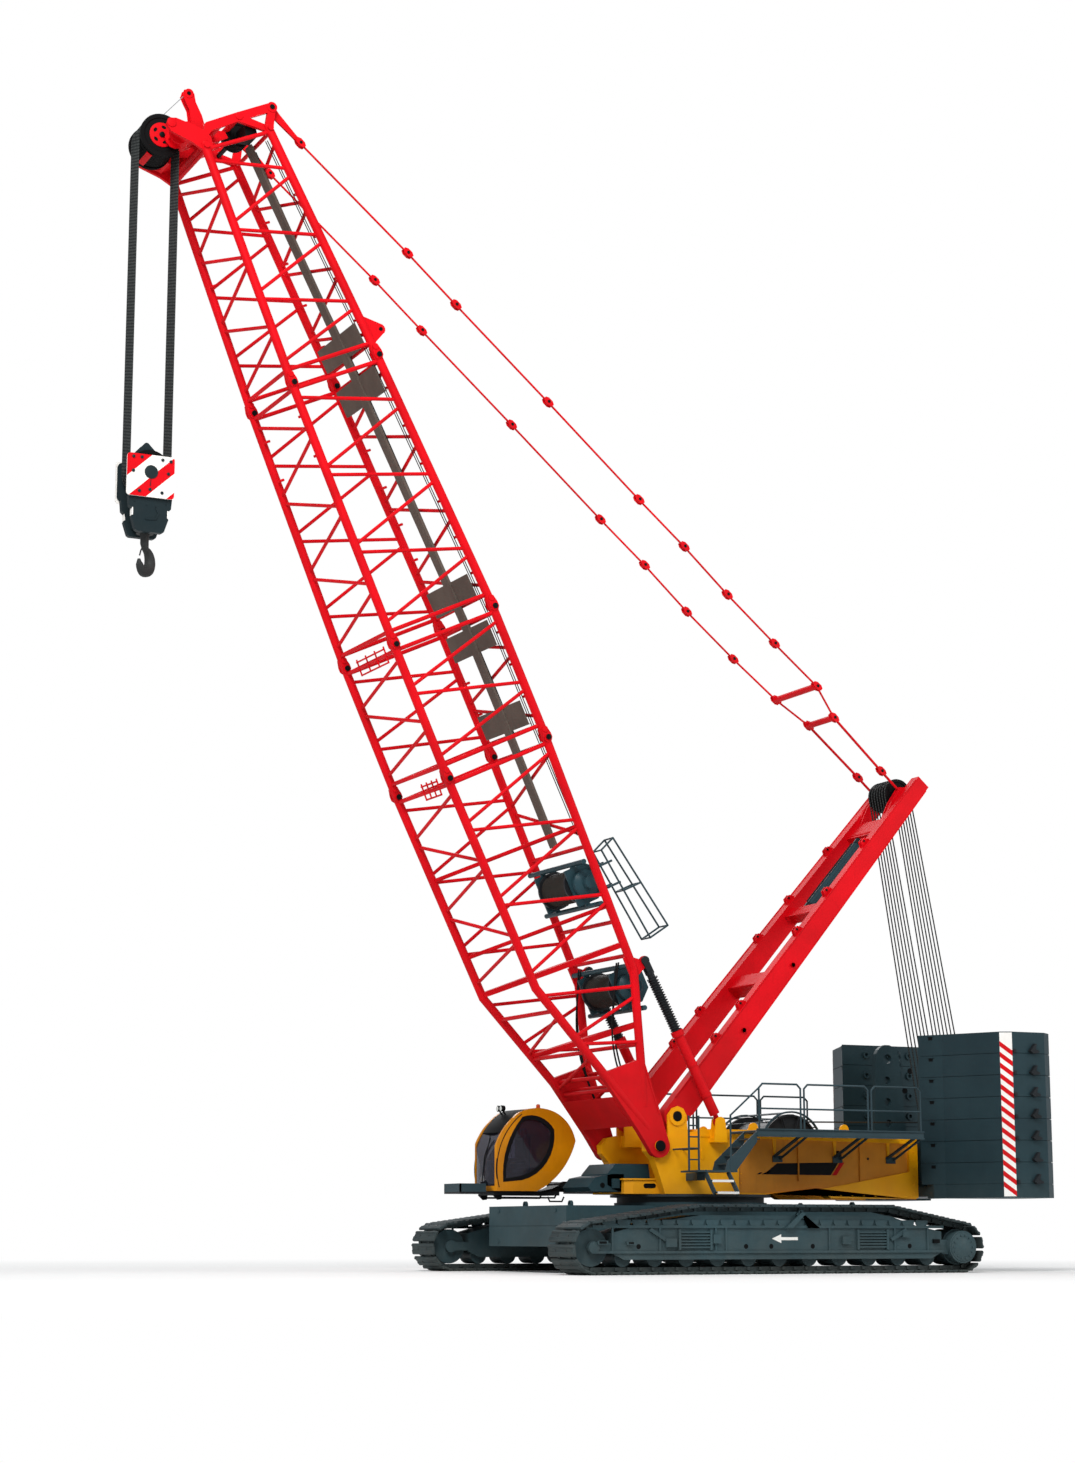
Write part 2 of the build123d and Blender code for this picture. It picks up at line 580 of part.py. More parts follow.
def rear_bracket():
    """Tall arched plates between the stacks and the bearing plates of the lower luffing sheaves."""
    base = TRAY_BOTTOM + TRAY_HEIGHT - 40
    pieces = [block((-6850, -8700), (-1150, 1150), (base, base + 140))]
    arch = [(-6850, base)]
    arch += [(-7300 + 330 * math.cos(math.radians(a)), 4850 + 330 * math.sin(math.radians(a))) for a in range(0, 181, 20)]
    arch += [(-7900, base)]
    holes = [(-7300, 4850, 110), (-7280, 4350, 90), (-7290, 3850, 90), (-7300, 3350, 90), (-7320, 2850, 90)]
    for y in (-950, 950):
        plate = side_plate(arch, y - 60, y + 60)
        for x, z, radius in holes:
            plate = plate - pin((x, z), y - 70, y + 70, 2 * radius)
        pieces.append(plate)
    for y in (-680, 680):
        pieces.append(side_plate(((-7850, base), (-8050, 3600), (-8500, 3600), (-8690, base)), y - 40, y + 40))
    pieces.append(block((-7400, -7600), (-950, 950), (2400, 2600)))
    return joined(pieces)


def sheave_set(at, radius, offsets, width, shaft, reach):
    """Sheaves fixed to one hub on a common shaft."""
    hub = pin(at, offsets[0] - width / 2, offsets[-1] + width / 2, radius * 1.1)
    wheels = [pin(at, y - width / 2, y + width / 2, 2 * radius) for y in offsets]
    return joined([hub, *wheels, pin(at, -reach, reach, shaft)])


def luff_offsets(pitch):
    """Centre planes of the luffing sheaves, or of their ropes."""
    return [pitch * (k - (LUFF_SHEAVE_COUNT - 1) / 2) for k in range(LUFF_SHEAVE_COUNT)]


def lower_luffing_sheaves():
    return sheave_set(LOWER_BLOCK, LUFF_SHEAVE_RADIUS, luff_offsets(LUFF_SHEAVE_PITCH), 90, 150, 640)


def winch_drum(at, radius, half_width, shaft_reach):
    """Rope drum with two flanges and a stub shaft."""
    flange = 60
    barrel = pin(at, -half_width, half_width, 2 * radius * 0.82)
    ends = [pin(at, s * (half_width - flange), s * half_width, 2 * radius) for s in (-1, 1)]
    return joined([barrel, *ends, pin(at, -shaft_reach, shaft_reach, 160)])


def luffing_drum():
    inner = FRAME_HALF - FRAME_PLATE
    return winch_drum(LUFF_DRUM, LUFF_DRUM_RADIUS, inner - 40, inner)


# ---- Cab ----

def cab_outline(inset):
    """Closed side outline of the cab as a face: round front, sloping back."""
    i = inset
    edges = [
        ThreePointArc((CAB_FRONT - 80, CAB_FLOOR + i), (CAB_FRONT - i, 2300), (1950, CAB_ROOF - 95 - i)),
        ThreePointArc((1950, CAB_ROOF - 95 - i), (1540, CAB_ROOF - i), (1095, CAB_ROOF - 80 - i)),
        ThreePointArc((1095, CAB_ROOF - 80 - i), (725 + i, 3180), (CAB_REAR + i, 2850)),
        ThreePointArc((CAB_REAR + i, 2850), (845 + i, 2300), (1540, CAB_FLOOR + i)),
        Line((1540, CAB_FLOOR + i), (CAB_FRONT - 80, CAB_FLOOR + i)),
    ]
    flat = Face(Wire(edges))
    return flat


def upright(face, y_low, y_high):
    """Face drawn in (x, z) and carried from y_low to y_high."""
    turned = face.rotate(Axis.X, 90)
    return Solid.extrude(turned.moved(Location((0, y_low, 0))), Vector(0, y_high - y_low, 0))


def cab_form(inset):
    """Rounded body of the cab: its side outline crossed with its plan."""
    y_high, y_low = CAB_INNER_Y - inset, CAB_INNER_Y - CAB_WIDTH + inset
    body = upright(cab_outline(inset), y_low, y_high)
    mid = (y_low + y_high) / 2
    plan_edges = [
        Line((0, y_low), (CAB_FRONT - CAB_BOW - inset, y_low)),
        ThreePointArc((CAB_FRONT - CAB_BOW - inset, y_low), (CAB_FRONT - inset, mid), (CAB_FRONT - CAB_BOW - inset, y_high)),
        Line((CAB_FRONT - CAB_BOW - inset, y_high), (0, y_high)),
        Line((0, y_high), (0, y_low)),
    ]
    plan = Solid.extrude(Face(Wire(plan_edges)).moved(Location((0, 0, 1000))), Vector(0, 0, 4000))
    return body & plan


DOOR_X = (1400.0, 2080.0)
DOOR_Z = (1880.0, 3160.0)
DOOR_HINGES = (1960.0, 2900.0)   # foot of each hinge


def side_window():
    """Prism of the big rounded window in the left wall."""
    edges = [
        ThreePointArc((2350, 1950), (2270, 2650), (1890, 3340)),
        ThreePointArc((1890, 3340), (1480, 3350), (1130, 3080)),
        ThreePointArc((1130, 3080), (1290, 2420), (1900, 2000)),
        Line((1900, 2000), (2350, 1950)),
    ]
    return Face(Wire(edges))


def front_window():
    """Prism of the front screen, ahead of the door line."""
    edges = [
        ThreePointArc((2420, 1850), (2340, 2650), (1940, 3400)),
        Line((1940, 3400), (3300, 3400)),
        Line((3300, 3400), (3300, 1850)),
        Line((3300, 1850), (2420, 1850)),
    ]
    return Face(Wire(edges))


def cab_shell():
    """Hollow cab body with the left window, the screen and the doorway cut out."""
    shell = cab_form(0) - cab_form(CAB_WALL)
    near, far = CAB_INNER_Y, CAB_INNER_Y - CAB_WIDTH
    shell = shell - upright(side_window(), near - 200, near + 10)
    shell = shell - upright(front_window(), far + 75, near - 75)
    shell = shell - block(DOOR_X, (far - 10, far + 200), DOOR_Z)
    # Fixed half of each hinge.
    for z in DOOR_HINGES:
        shell = shell.fuse(
            block((DOOR_X[0] - 100, DOOR_X[0] - 15), (far - 34, far + 5), (z + 125, z + 225)),
            pin_z((DOOR_X[0], far - 24), z + 125, z + 225, 40),
            block((DOOR_X[0] - 60, DOOR_X[0]), (far - 34, far - 14), (z + 125, z + 225)),
        )
    return shell


def cab_glass():
    """Curved screen and flat left pane, set in the middle of the wall."""
    pane = cab_form(20) - cab_form(20 + GLASS_THICK)
    near, far = CAB_INNER_Y, CAB_INNER_Y - CAB_WIDTH
    left = pane & upright(side_window(), near - 100, near + 10)
    screen = pane & upright(front_window(), far + 75, near - 75)
    return [left, screen]


def cab_floor():
    """Seat, console and front grating of the cab."""
    mid = CAB_INNER_Y - CAB_WIDTH / 2
    low = CAB_FLOOR + CAB_WALL
    seat = joined([
        block((1620, 2020), (mid - 250, mid + 250), (low, low + 420)),
        block((1540, 1680), (mid - 250, mid + 250), (low + 300, low + 1150)),
        block((2080, 2330), (mid - 330, mid + 330), (low, low + 620)),
        block((1960, 2110), (mid - 330, mid + 330), (low, low + 60)),
    ])
    return seat


def cab_door():
    """Flat door in the right wall, with its window cut."""
    far = CAB_INNER_Y - CAB_WIDTH
    leaf = block((DOOR_X[0] + 8, DOOR_X[1] - 14), (far, far + 50), (DOOR_Z[0] + 8, DOOR_Z[1] - 8))
    light = block((DOOR_X[0] + 120, DOOR_X[1] - 130), (far - 10, far + 60), (2400, DOOR_Z[1] - 130))
    barrels = [pin_z((DOOR_X[0], far - 24), z, z + 120, 40) for z in DOOR_HINGES]
    leaves = [
        block((DOOR_X[0], DOOR_X[0] + 110), (far - 34, far), (z, z + 120)) for z in DOOR_HINGES
    ]
    return joined([leaf - light, *leaves, *barrels])


def cab_door_glass():
    """Pane of the door, in the middle of its leaf."""
    far = CAB_INNER_Y - CAB_WIDTH
    return block((DOOR_X[0] + 120, DOOR_X[1] - 130), (far + 19, far + 31), (2400, DOOR_Z[1] - 130))


CAB_PIVOT = (760.0, 1880.0)
CAB_MID_Y = CAB_INNER_Y - CAB_WIDTH / 2


def cab_mount():
    """Arm from the frame that carries the cab's tilting pivot."""
    pieces = [
        block((-900, 420), (CAB_MID_Y - 355, -FRAME_HALF), (1700, 1960)),
        pin(CAB_PIVOT, CAB_MID_Y - 355, CAB_MID_Y + 355, 70),
    ]
    for side in (-1, 1):
        y = CAB_MID_Y + side * 330
        pieces.append(block((300, 760), (y - 25, y + 25), (1740, 1960)))
        pieces.append(pin(CAB_PIVOT, y - 25, y + 25, 160))
    return joined(pieces)


def cab_base():
    """Underframe of the cab with its pivot tube and the grating step ahead of it."""
    tube = pin(CAB_PIVOT, CAB_MID_Y - 290, CAB_MID_Y + 290, 130)
    plate = block((900, CAB_FRONT - 120), (CAB_MID_Y - 420, CAB_MID_Y + 420), (CAB_FLOOR - 90, CAB_FLOOR))
    link = side_plate(((720, 1830), (720, 1930), (1000, 1800), (1300, 1740), (1350, 1650), (900, 1650)),
                      CAB_MID_Y - 250, CAB_MID_Y + 250)
    tread = block((CAB_FRONT - 170, 3330), (CAB_MID_Y - 420, CAB_MID_Y + 420), (CAB_FLOOR - 60, CAB_FLOOR - 20))
    bore = pin(CAB_PIVOT, CAB_MID_Y - 400, CAB_MID_Y + 400, 70 + 2 * PIN_CLEAR)
    return joined([tube, plate, link, tread]) - bore


# ---- Boom ----

def chord_point(station_low, station_high, along, chord):
    """Axis point of one chord: 0 belly right, 1 belly left, 2 back left, 3 back right."""
    s0, belly0, back0, half0 = station_low
    s1, belly1, back1, half1 = station_high
    share = (along - s0) / (s1 - s0)
    belly = belly0 + (belly1 - belly0) * share
    back = back0 + (back1 - back0) * share
    half = half0 + (half1 - half0) * share
    across = belly if chord in (0, 1) else back
    y = half if chord in (1, 2) else -half
    return on_boom(along, across, y)


def brace(start, end, diameter):
    """Bar between two chord axes, stopped inside each chord."""
    a, b = Vector(*start), Vector(*end)
    step = (b - a).normalized() * BRACE_INSET
    return rod(tuple(a + step), tuple(b - step), diameter)


def lacing(low, high, first, last, count, faces=(0, 1, 2, 3)):
    """Zigzag braces on the faces between chord k and chord k + 1, in count half bays."""
    half_bay = (last - first) / count
    bars = []
    for face in faces:
        ends = (face, (face + 1) % 4)
        for j in range(count):
            a, b = ends[j % 2], ends[(j + 1) % 2]
            start = chord_point(low, high, first + j * half_bay + NODE_GAP, a)
            end = chord_point(low, high, first + (j + 1) * half_bay - NODE_GAP, b)
            bars.append(brace(start, end, BRACE))
    return bars


def end_frame(low, high, along, diameter=POST):
    """Four posts round the section at one station."""
    corners = [chord_point(low, high, along, k) for k in range(4)]
    return [brace(corners[k], corners[(k + 1) % 4], diameter) for k in range(4)]


def slab_between(low, high):
    """Everything between two stations, to trim chord ends square to the boom."""
    length = high - low
    axis = Vector(COS, 0, SIN)
    return Solid.make_box(
        8000, 8000, length,
        Plane(origin=tuple(Vector(*on_boom(low, -4000, 4000))), x_dir=(-SIN, 0, COS), z_dir=tuple(axis)),
    )


def chords(low, high):
    """Four round chords, cut square at both stations, with a collar at each end."""
    keep = slab_between(low[0], high[0])
    bars = []
    for k in range(4):
        start = chord_point(low, high, low[0] - 60, k)
        end = chord_point(low, high, high[0] + 60, k)
        bars.append(rod(start, end, CHORD) & keep)
        for along in (low[0] + 95, high[0] - 95):
            at = chord_point(low, high, along, k)
            bars.append(rod((at[0], at[1] - 130, at[2]), (at[0], at[1] + 130, at[2]), 130))
    return bars


def boom_insert(low, high, count):
    bars = chords(low, high)
    bars += end_frame(low, high, low[0] + 210)
    bars += end_frame(low, high, high[0] - 210)
    bars += lacing(low, high, low[0] + 330, high[0] - 330, count)
    return joined(bars)


def boom_base():
    """Tapered foot section: foot plates, kinked chords, lacing and cross frames."""
    top = BOOM_STATIONS["joint_1"]
    kink = (BELLY_KINK[0], BELLY_KINK[1], 1045.0, BELLY_KINK[2])
    keep = slab_between(-1000, top[0])
    bars = []
    for s in (-1, 1):
        for joint, bend, foot in ((1, BELLY_KINK, BELLY_FOOT), (2, BACK_KINK, BACK_FOOT)):
            across = top[joint]
            upper = on_boom(top[0] + 60, across, s * top[3])
            middle = on_boom(bend[0], bend[1], s * bend[2])
            lower = on_boom(foot[0], foot[1], s * foot[2])
            bars.append(rod(middle, upper, CHORD) & keep)
            bars.append(rod(lower, middle, CHORD))
            bars.append(Solid.make_sphere(CHORD / 2 + 1, Plane(origin=middle)))
            at = on_boom(top[0] - 95, across, s * top[3])
            bars.append(rod((at[0], at[1] - 130, at[2]), (at[0], at[1] + 130, at[2]), 130))
        y0, y1 = sorted((s * (FOOT_HALF - FOOT_PLATE / 2), s * (FOOT_HALF + FOOT_PLATE / 2)))
        gusset = boom_plate(((1950, -640), (1850, 440), (700, 330), (0, 250), (-150, 60), (0, -250), (500, -330)),
                            y0, y1)
        bars += [gusset, pin((0, FOOT_Z), y0, y1, 500)]
        bars.append(boom_plate(((3450, 900), (3600, 1300), (3740, 1350), (3990, 1010), (3990, 900)),
                               s * BACKSTOP_Y - 30, s * BACKSTOP_Y + 30))
        lug = on_boom(*BACKSTOP_LUG)
        bars.append(pin((lug[0], lug[2]), s * BACKSTOP_Y - 30, s * BACKSTOP_Y + 30, 210))
    bars += end_frame(kink, top, top[0] - 210)
    bars += lacing(kink, top, BELLY_KINK[0] + 260, top[0] - 330, 5, faces=(0, 1, 3))
    bars += lacing(kink, top, 6700, top[0] - 330, 2, faces=(2,))
    for along in (4780, 6520):
        bars.append(brace(chord_point(kink, top, along, 2), chord_point(kink, top, along, 3), POST))
    for along in (5150, 7000):
        corners = [chord_point(kink, top, along, k) for k in range(4)]
        bars.append(brace(corners[0], corners[2], POST))
    # Belly and back faces below the kinks: cross tubes and diagonals between the two legs.
    for along, across in ((3600, -1122), (2500, -758), (1500, -427)):
        half = 1250 + (along - 420) / 3780 * 85
        bars.append(brace(on_boom(along, across, -half), on_boom(along, across, half), POST))
    for low, high in (((1650, -477), (2350, -708)), ((2650, -808), (3450, -1072))):
        h0, h1 = 1250 + (low[0] - 420) / 3780 * 85, 1250 + (high[0] - 420) / 3780 * 85
        bars.append(brace(on_boom(*low, -h0), on_boom(*high, h1), BRACE))
    for along, across in ((2150, 499), (4000, 1035)):
        half = 1250 + (min(along, 3660) - 900) / 2760 * 85
        bars.append(brace(on_boom(along, across, -half), on_boom(along, across, half), POST))
    # Side faces below the kinks.
    for s in (-1, 1):
        for (a0, c0), (a1, c1) in (((4000, -1240), (3330, 913)), ((2900, -895), (3130, 843)), ((2720, -833), (2200, 517))):
            bars.append(brace(on_boom(a0, c0, s * 1318), on_boom(a1, c1, s * 1318), BRACE))
    foot_pin = both(pin((0, FOOT_Z), FOOT_HALF - FOOT_PLATE, FOOT_HALF + FOOT_PLATE, PIN_BOOM + PIN_CLEAR * 2))
    base = joined(bars)
    for bore in foot_pin:
        base = base - bore
    return base


def boom_tip():
    """Tapered top section with the head plates, the horn and the pendant lugs."""
    low, high = BOOM_STATIONS["joint_3"], BOOM_STATIONS["head"]
    bars = chords(low, high)
    bars += end_frame(low, high, low[0] + 210)
    bars += end_frame(low, high, high[0] - 160)
    bars += lacing(low, high, low[0] + 330, high[0] - 330, 6)
    belly, back, half = high[1], high[2], high[3]
    for s in (-1, 1):
        y = s * half
        # Outer head plate from the belly chord to the sheave shaft.
        bars.append(boom_plate(((23300, belly - 70), (23300, belly + 150), (23560, belly + 190), (23740, -760),
                                (23900, -940), (24150, -1260), (24190, -1420), (24080, -1520), (23900, -1480),
                                (23560, -1120)), y - 40, y + 40))
        # Edge beam to the pendant lug, its strut to the back chord and the post beside it.
        for outline in (
            ((23560, belly + 60), (23740, -780), (23900, -640), (23930, 90), (23945, 880), (23940, 1040),
             (23800, 1060), (23750, 900), (23745, 180), (23700, -560)),
            ((23760, 60), (23880, 190), (23440, 760), (23320, 700)),
            ((23360, 640), (23480, 640), (23850, 880), (23850, 1050), (23740, 1010), (23360, 790)),
        ):
            bars.append(boom_plate(outline, s * (half - 30) - 45, s * (half - 30) + 45))
    bars.append(rod(on_boom(23500, belly + 100, -half), on_boom(23500, belly + 100, half), 150))
    bars.append(rod(on_boom(23840, 150, -half + 30), on_boom(23840, 150, half - 30), 130))
    # Short pins the pendants hang beside.
    at = on_boom(*PENDANT_PIN)
    bars += both(pin((at[0], at[2]), PENDANT_Y + PENDANT_EYE / 2 + 8, half - 20, PIN_SMALL))
    return joined(bars)


def head_shaft_plates():
    """Inner cheeks that carry the head sheaves and the horn."""
    pieces = []
    for y in (-330.0, 330.0):
        pieces.append(boom_plate(((23620, -700), (23640, 80), (23800, 60), (24060, -560), (24340, -1060),
                                  (24430, -1370), (24330, -1650), (24010, -1740), (23820, -1480), (23760, -1000)),
                                 y - 20, y + 20))
    for y in (-HORN_HALF, HORN_HALF):
        horn = ((23520, -330), (23620, -420), (24010, -540), (24546, -386), (24690, -400), (24890, -400),
                (24975, -330), (24960, -200), (24840, -150), (24650, -200), (24330, -190), (24040, -240),
                (23620, -180))
        pieces.append(boom_plate(horn, y - 20, y + 20))
    reach = BOOM_STATIONS["head"][3] - 75
    cross = rod(on_boom(23800, -330, -reach), on_boom(23800, -330, reach), 160)
    eye = on_boom(*HORN_EYE)
    return joined([*pieces, cross]) - pin((eye[0], eye[2]), -400, 400, 2 * HORN_BORE)


def head_sheaves():
    at = on_boom(*HEAD_SHEAVE_AT)
    return sheave_set((at[0], at[2]), HEAD_SHEAVE_RADIUS, list(FALLS), 80, 140, 310)


def hoist_drum(name):
    at = on_boom(*WINCHES[name])
    return winch_drum((at[0], at[2]), WINCH_RADIUS, WINCH_WIDTH / 2 - 90, WINCH_WIDTH / 2 - 40)


def winch_frame(along, across, reach):
    """Bearing plates of one hoist winch and the tubes that carry them between the boom's back chords."""
    at = on_boom(along, across)
    pieces = []
    for s in (-1, 1):
        y0, y1 = sorted((s * (WINCH_WIDTH / 2 - 40), s * (WINCH_WIDTH / 2 + 10)))
        cheek = ((along - 420, across - 330), (along - 420, across + 200), (along - 200, across + 470),
                 (along + 200, across + 470), (along + 420, across + 200), (along + 420, across - 330))
        pieces.append(boom_plate(cheek, y0, y1))
    for step in (-490, 490):
        inset = across - 90
        pieces.append(rod(on_boom(along + step, inset, -reach), on_boom(along + step, inset, reach), 110))
        for s in (-1, 1):
            y0, y1 = sorted((s * (WINCH_WIDTH / 2 - 40), s * (WINCH_WIDTH / 2 + 10)))
            lug = sorted((along + step, along + step * 0.8))
            pieces.append(boom_plate(((lug[0], inset - 60), (lug[0], inset + 60), (lug[1], inset + 60),
                                      (lug[1], inset - 60)), y0, y1))
    if along > 5000:
        for step in BASKET_SEAT[0]:
            near, far = WINCH_WIDTH / 2 - 20, WINCH_WIDTH / 2 + 490
            pieces.append(rod(on_boom(step, BASKET_SEAT[1], near), on_boom(step, BASKET_SEAT[1], far), BASKET_TUBE))
    return joined(pieces)


# ---- Mast ----

def mast():
    """Two box legs that close towards the head, with cross boxes and the ears at the head."""
    pieces = []
    half = MAST_LEG_WIDTH / 2
    for s in (-1, 1):
        faces = []
        for (x, y, z), depth in (
            (on_mast(0, 0, s * MAST_FOOT_Y), MAST_DEPTH[0]),
            (on_mast(MAST_LENGTH, 80, s * MAST_HEAD_Y), MAST_DEPTH[1]),
        ):
            rise = (MAST_SIN * depth / 2, MAST_COS * depth / 2)
            faces.append(Wire.make_polygon([
                (x - rise[0], y - half, z - rise[1]), (x - rise[0], y + half, z - rise[1]),
                (x + rise[0], y + half, z + rise[1]), (x + rise[0], y - half, z + rise[1]),
            ], close=True))
        pieces.append(Solid.make_loft(faces, True))
        pieces.append(pin(MAST_FOOT, s * MAST_FOOT_Y - half, s * MAST_FOOT_Y + half, MAST_DEPTH[0]))
    for along, across, length, depth in MAST_BOXES:
        reach = MAST_FOOT_Y - (MAST_FOOT_Y - MAST_HEAD_Y) * along / MAST_LENGTH
        outline = ((along, across - depth / 2), (along, across + depth / 2),
                   (along + length, across + depth / 2), (along + length, across - depth / 2))
        pieces.append(mast_plate(outline, -reach, reach))
    # Ears at the head: an inner and an outer one beside each pendant's foot.
    ear = [(MAST_PIN_AT[0] + along, MAST_PIN_AT[1] + across) for along, across in MAST_EAR_OUTLINE]
    at = on_mast(*MAST_PIN_AT)
    inner = MAST_PENDANT_Y - PENDANT_EYE / 2 - SIDE_CLEAR
    outer = MAST_PENDANT_Y + PENDANT_EYE / 2 + SIDE_CLEAR
    for y0, y1 in ((inner - MAST_EAR, inner), (outer, outer + MAST_EAR + 40)):
        pieces += both(mast_plate(ear, y0, y1))
    pieces += both(pin((at[0], at[2]), inner - MAST_EAR, outer + MAST_EAR, PIN_SMALL))
    body = joined(pieces)
    bore = pin(MAST_FOOT, MAST_FOOT_Y - MAST_LEG_WIDTH, MAST_FOOT_Y + MAST_LEG_WIDTH, PIN_MAST + 2 * PIN_CLEAR)
    for cut in both(bore):
        body = body - cut
    return body


def mast_head_sheaves():
    at = on_mast(*MAST_PIN_AT)
    reach = MAST_PENDANT_Y - PENDANT_EYE / 2 - SIDE_CLEAR - MAST_EAR
    return sheave_set((at[0], at[2]), MAST_SHEAVE_RADIUS, luff_offsets(MAST_SHEAVE_PITCH), 80, 130, reach)


def mast_cylinder():
    """Dark cylinder along the mast between its legs, from one cross box to the next."""
    across, y = MAST_CYLINDER_AT
    lower, upper = MAST_BOXES[1:]
    return rod(on_mast(lower[0] + lower[2], across, y), on_mast(upper[0], across, y), MAST_CYLINDER_SIZE)


# ---- Pendants, backstops, ropes ----

# Joints of a pendant from the boom tip to the mast head: x, z, y, bar diameter to the next one.
PENDANT_JOINTS = (
    (on_boom(*PENDANT_PIN)[0], on_boom(*PENDANT_PIN)[2], PENDANT_Y, 60.0),
    (8450.0, 24060.0, 950.0, 46.0), (5900.0, 21970.0, 950.0, 46.0), (4730.0, 20960.0, 950.0, 46.0),
    (2470.0, 19040.0, 950.0, 46.0), (190.0, 17070.0, 950.0, 46.0), (-960.0, 16110.0, 950.0, 46.0),
    (-2070.0, 15110.0, 950.0, 46.0), (-3300.0, 14090.0, 940.0, 46.0), (-4430.0, 13200.0, 910.0, 46.0),
    (-5100.0, 12580.0, 560.0, 60.0), (-6400.0, 11430.0, 500.0, 60.0),
    (on_mast(*MAST_PIN_AT)[0], on_mast(*MAST_PIN_AT)[2], MAST_PENDANT_Y, 0.0),
)


def pendants():
    """Both pendants: bars with a pair of link plates at every joint, two spreaders between them."""
    half_bar = []
    last = len(PENDANT_JOINTS) - 1
    for k in range(last):
        x, z, y, bar = PENDANT_JOINTS[k]
        x2, z2, y2, _ = PENDANT_JOINTS[k + 1]
        half_bar.append(rod((x, y, z), (x2, y2, z2), bar))
        if k:
            half_bar.append(pin((x, z), y - 45, y + 45, 130))
    for x, z, y in ((*PENDANT_JOINTS[0][:3],), (*PENDANT_JOINTS[-1][:3],)):
        half_bar.append(pin((x, z), y - PENDANT_EYE / 2, y + PENDANT_EYE / 2, 210))
    side = joined(half_bar)
    at = PENDANT_JOINTS[-1]
    side = side - pin(at, at[2] - 100, at[2] + 100, PIN_SMALL + 2 * PIN_CLEAR)
    spreaders = []
    for k, size in ((9, 150.0), (10, 150.0)):
        x, z, y, _ = PENDANT_JOINTS[k]
        spreaders.append(rod((x, -y, z), (x, y, z), size))
    return joined([side, mirrored(side), *spreaders])


def backstop_axis():
    """Foot, head and unit direction of the left backstop in (x, z)."""
    head = on_boom(*BACKSTOP_LUG)
    start, end = BACKSTOP_FOOT, (head[0], head[2])
    length = math.dist(start, end)
    return start, end, ((end[0] - start[0]) / length, (end[1] - start[1]) / length)


def backstop_point(from_foot, y=BACKSTOP_Y):
    (x, z), _, (ux, uz) = backstop_axis()
    return (x + ux * from_foot, y, z + uz * from_foot)


def backstop_tube():
    """Left backstop tube with its foot eye."""
    tube = rod(backstop_point(190), backstop_point(BACKSTOP_TUBE_LENGTH), BACKSTOP_TUBE)
    tube = tube - rod(backstop_point(520), backstop_point(BACKSTOP_TUBE_LENGTH - 60), BACKSTOP_BORE)
    bush = BACKSTOP_ROD + 2 * PIN_CLEAR
    tube = tube - rod(backstop_point(BACKSTOP_TUBE_LENGTH - 70), backstop_point(BACKSTOP_TUBE_LENGTH + 10), bush)
    eye_half = BACKSTOP_FORK - 20 - SIDE_CLEAR
    eye = pin(BACKSTOP_FOOT, BACKSTOP_Y - eye_half, BACKSTOP_Y + eye_half, 210)
    neck = rod(backstop_point(40), backstop_point(220), 2 * eye_half)
    return joined([tube, eye, neck]) - pin(
        BACKSTOP_FOOT, BACKSTOP_Y - 200, BACKSTOP_Y + 200, PIN_SMALL + 2 * PIN_CLEAR
    )


def backstop_rod():
    """Left backstop rod with the open fork that pushes on the boom's lug."""
    foot, head, _ = backstop_axis()
    length = math.dist(foot, head)
    pieces = [
        rod(backstop_point(length - BACKSTOP_ROD_LENGTH), backstop_point(length - BACKSTOP_THROAT), BACKSTOP_ROD),
        rod(backstop_point(length - BACKSTOP_THROAT - 60), backstop_point(length - BACKSTOP_THROAT), 200),
    ]
    for side in (-1, 1):
        y = BACKSTOP_Y + side * 56
        near, far = backstop_point(length - BACKSTOP_THROAT - 60, y), backstop_point(length, y)
        pieces.append(beam(near, far, 40, 150))
        pieces.append(pin(head, y - 20, y + 20, 190))
    return joined(pieces)


def rope_line():
    """Upper and lower sheave centres of the luffing tackle and its unit direction."""
    top = on_mast(*MAST_PIN_AT)
    start, end = (top[0], top[2]), LOWER_BLOCK
    length = math.dist(start, end)
    return start, end, ((end[0] - start[0]) / length, (end[1] - start[1]) / length), length


def luffing_ropes(low_share, high_share):
    """Ropes of the luffing tackle over one part of the way from the mast head down."""
    start, _, (ux, uz), length = rope_line()
    ropes = []
    for y_top, y_low in zip(luff_offsets(MAST_SHEAVE_PITCH), luff_offsets(LUFF_SHEAVE_PITCH)):
        for side in (-1, 1):
            ends = []
            for share in (low_share, high_share):
                off = side * (MAST_SHEAVE_RADIUS + (LUFF_SHEAVE_RADIUS - MAST_SHEAVE_RADIUS) * share + ROPE / 2)
                y = y_top + (y_low - y_top) * share
                ends.append((start[0] + ux * length * share + uz * off, y, start[1] + uz * length * share - ux * off))
            ropes.append(rod(*ends, ROPE))
    return ropes


def hoist_ropes():
    """Falls from the head sheaves down to the hook block, front and rear of each sheave."""
    x, _, z = on_boom(*HEAD_SHEAVE_AT)
    return [
        rod((x + side * (HEAD_SHEAVE_RADIUS + ROPE / 2), y, HOOK_BLOCK_Z),
            (x + side * (HEAD_SHEAVE_RADIUS + ROPE / 2), y, z), ROPE)
        for y in FALLS for side in (-1, 1)
    ]


